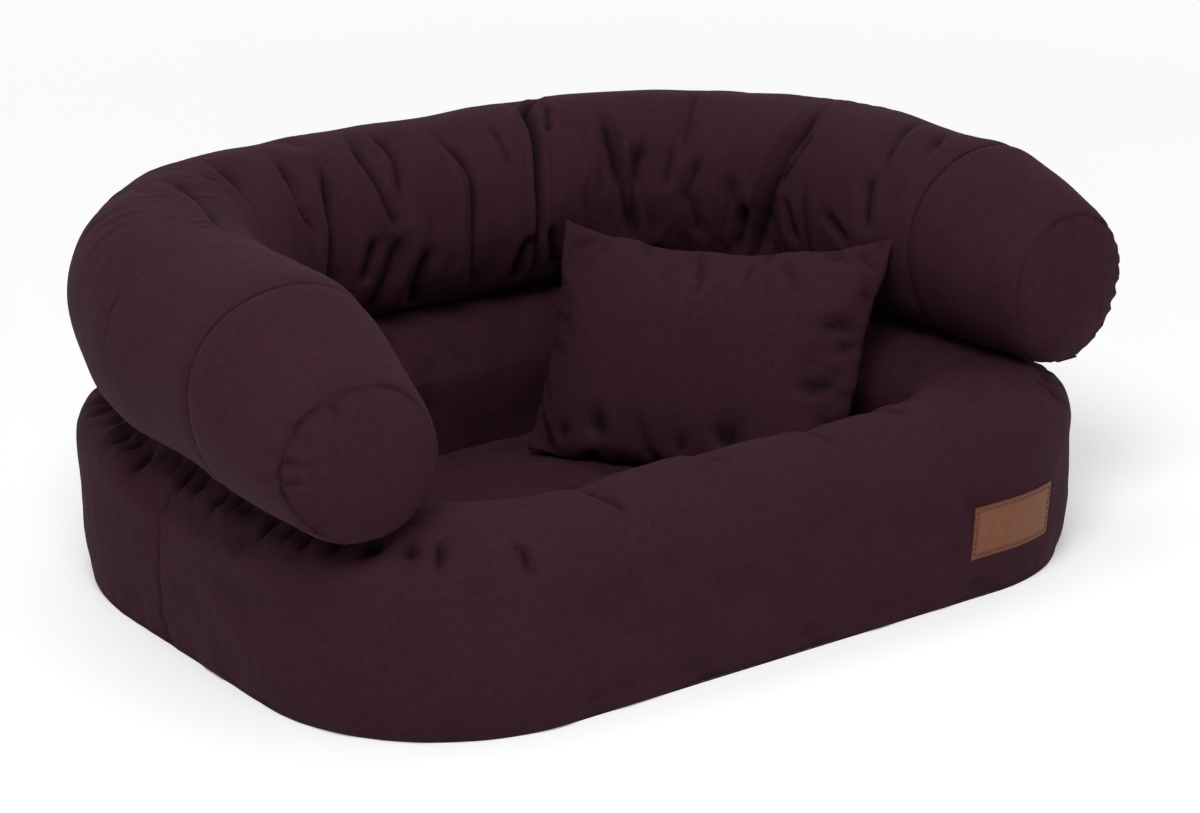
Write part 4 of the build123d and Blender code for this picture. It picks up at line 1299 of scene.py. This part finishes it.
small = {name: smallMaterial(name + "Finish", *values) for name, values in smallParts.items()}
nodeFinishes = {
    "label_patch": leatherMaterial("labelLeather", leather),
    "label_stitching": small["thread"],
    "bottom_panel": gripMaterial("gripSheet", grip),
    "joining_tape": tape,
}
for zipName in ("bolster_zip", "wall_zip", "seat_zip"):
    nodeFinishes[zipName + "_tape"] = tape
    nodeFinishes[zipName + "_teeth"] = small["teeth"]
    nodeFinishes[zipName + "_slider"] = small["metal"]
for zipName in ("bolster_zip", "wall_zip"):
    nodeFinishes[zipName + "_pull"] = small["metal"]
for nodeName, material in nodeFinishes.items():
    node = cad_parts[nodeName]
    node.data.materials.clear()
    node.data.materials.append(material)
print("materials made")


# Floor, lights and camera

studio = {
    "floor": linear(252, 252, 252),
    "floorReach": 14.0,
    "floorGlow": (0.30, 0.56),
    "glowReach": (0.8, 3.2),
    "worldStrength": 0.40,
    "key": {"spot": (-1.15, -1.2, 2.15), "size": 1.1, "power": 32},
    "back": {"spot": (0.2, 0.6, 2.8), "size": 1.5, "power": 8},
    "fill": {"spot": (1.6, -2.2, 1.1), "size": 1.6, "power": 5},
}

floorMesh = bpy.data.meshes.new("floor")
floorCorners = [(x * studio["floorReach"], y * studio["floorReach"], 0)
                for x, y in ((-1, -1), (1, -1), (1, 1), (-1, 1))]
floorMesh.from_pydata(floorCorners, [], [(0, 1, 2, 3)])
floor = bpy.data.objects.new("floor", floorMesh)
bpy.context.scene.collection.objects.link(floor)


def seenDirectly(add):
    rays = add("LightPath").outputs
    seen = rays["Is Camera Ray"]
    for ray in ("Is Glossy Ray", "Is Transmission Ray"):
        seen = maths(add, "MAXIMUM", seen, rays[ray])
    return seen


floorMaterial, addFloor = emptyMaterial("paleFloor")
matt = addFloor("BsdfPrincipled", {"Base Color": studio["floor"], "Roughness": 0.9, "Specular IOR Level": 0.0})
floorAway = vectorMaths(addFloor, "LENGTH", addFloor("TexCoord").outputs["Object"])
glowRange = ranged(addFloor, floorAway.outputs["Value"], *studio["glowReach"], *studio["floorGlow"])
glowStrength = maths(addFloor, "MULTIPLY", seenDirectly(addFloor), glowRange)
glow = addFloor("Emission", {"Color": studio["floor"], "Strength": glowStrength})
addFloor("OutputMaterial", {"Surface": addFloor("AddShader", {0: matt, 1: glow})})
floorMesh.materials.append(floorMaterial)

world = bpy.data.worlds.new("studio")
world.use_nodes = True
addWorld = nodeAdder(world)
background = world.node_tree.nodes["Background"]
white = (1, 1, 1, 1)
background.inputs["Color"].default_value = white
background.inputs["Strength"].default_value = studio["worldStrength"]
seenWorld = addWorld("Background", {"Color": white, "Strength": 1.0})
worldMix = addWorld("MixShader", {0: seenDirectly(addWorld), 1: background, 2: seenWorld})
world.node_tree.links.new(worldMix.outputs[0], world.node_tree.nodes["World Output"].inputs[0])
bpy.context.scene.world = world

for name in ("key", "back", "fill"):
    lamp = bpy.data.lights.new(name, "AREA")
    lamp.shape = "DISK"
    lamp.size = studio[name]["size"]
    lamp.energy = studio[name]["power"]
    lampObject = bpy.data.objects.new(name, lamp)
    lampObject.location = studio[name]["spot"]
    aim = Vector((0, 0, 0.12)) - lampObject.location
    lampObject.rotation_euler = aim.to_track_quat("-Z", "Y").to_euler()
    bpy.context.scene.collection.objects.link(lampObject)

photoCamera = {
    "azimuth": 36.7,
    "elevation": 18.5,
    "distance": 2.368,
    "target": (0.0398, 0.0, 0.105),
    "focalPixels": 2957.0,
    "imageWidth": 1200,
    "sensor": 36.0,
}
camera = bpy.data.cameras.new("photoCamera")
camera.sensor_width = photoCamera["sensor"]
camera.lens = photoCamera["sensor"] * photoCamera["focalPixels"] / photoCamera["imageWidth"]
azimuth, elevation = math.radians(photoCamera["azimuth"]), math.radians(photoCamera["elevation"])
away = Vector((-math.sin(azimuth) * math.cos(elevation), -math.cos(azimuth) * math.cos(elevation),
               math.sin(elevation)))
cameraObject = bpy.data.objects.new("photoCamera", camera)
cameraObject.location = Vector(photoCamera["target"]) + away * photoCamera["distance"]
cameraObject.rotation_euler = (-away).to_track_quat("-Z", "Y").to_euler()
bpy.context.scene.collection.objects.link(cameraObject)
bpy.context.scene.camera = cameraObject
bpy.context.scene.view_settings.view_transform = "Standard"
print("studio made")
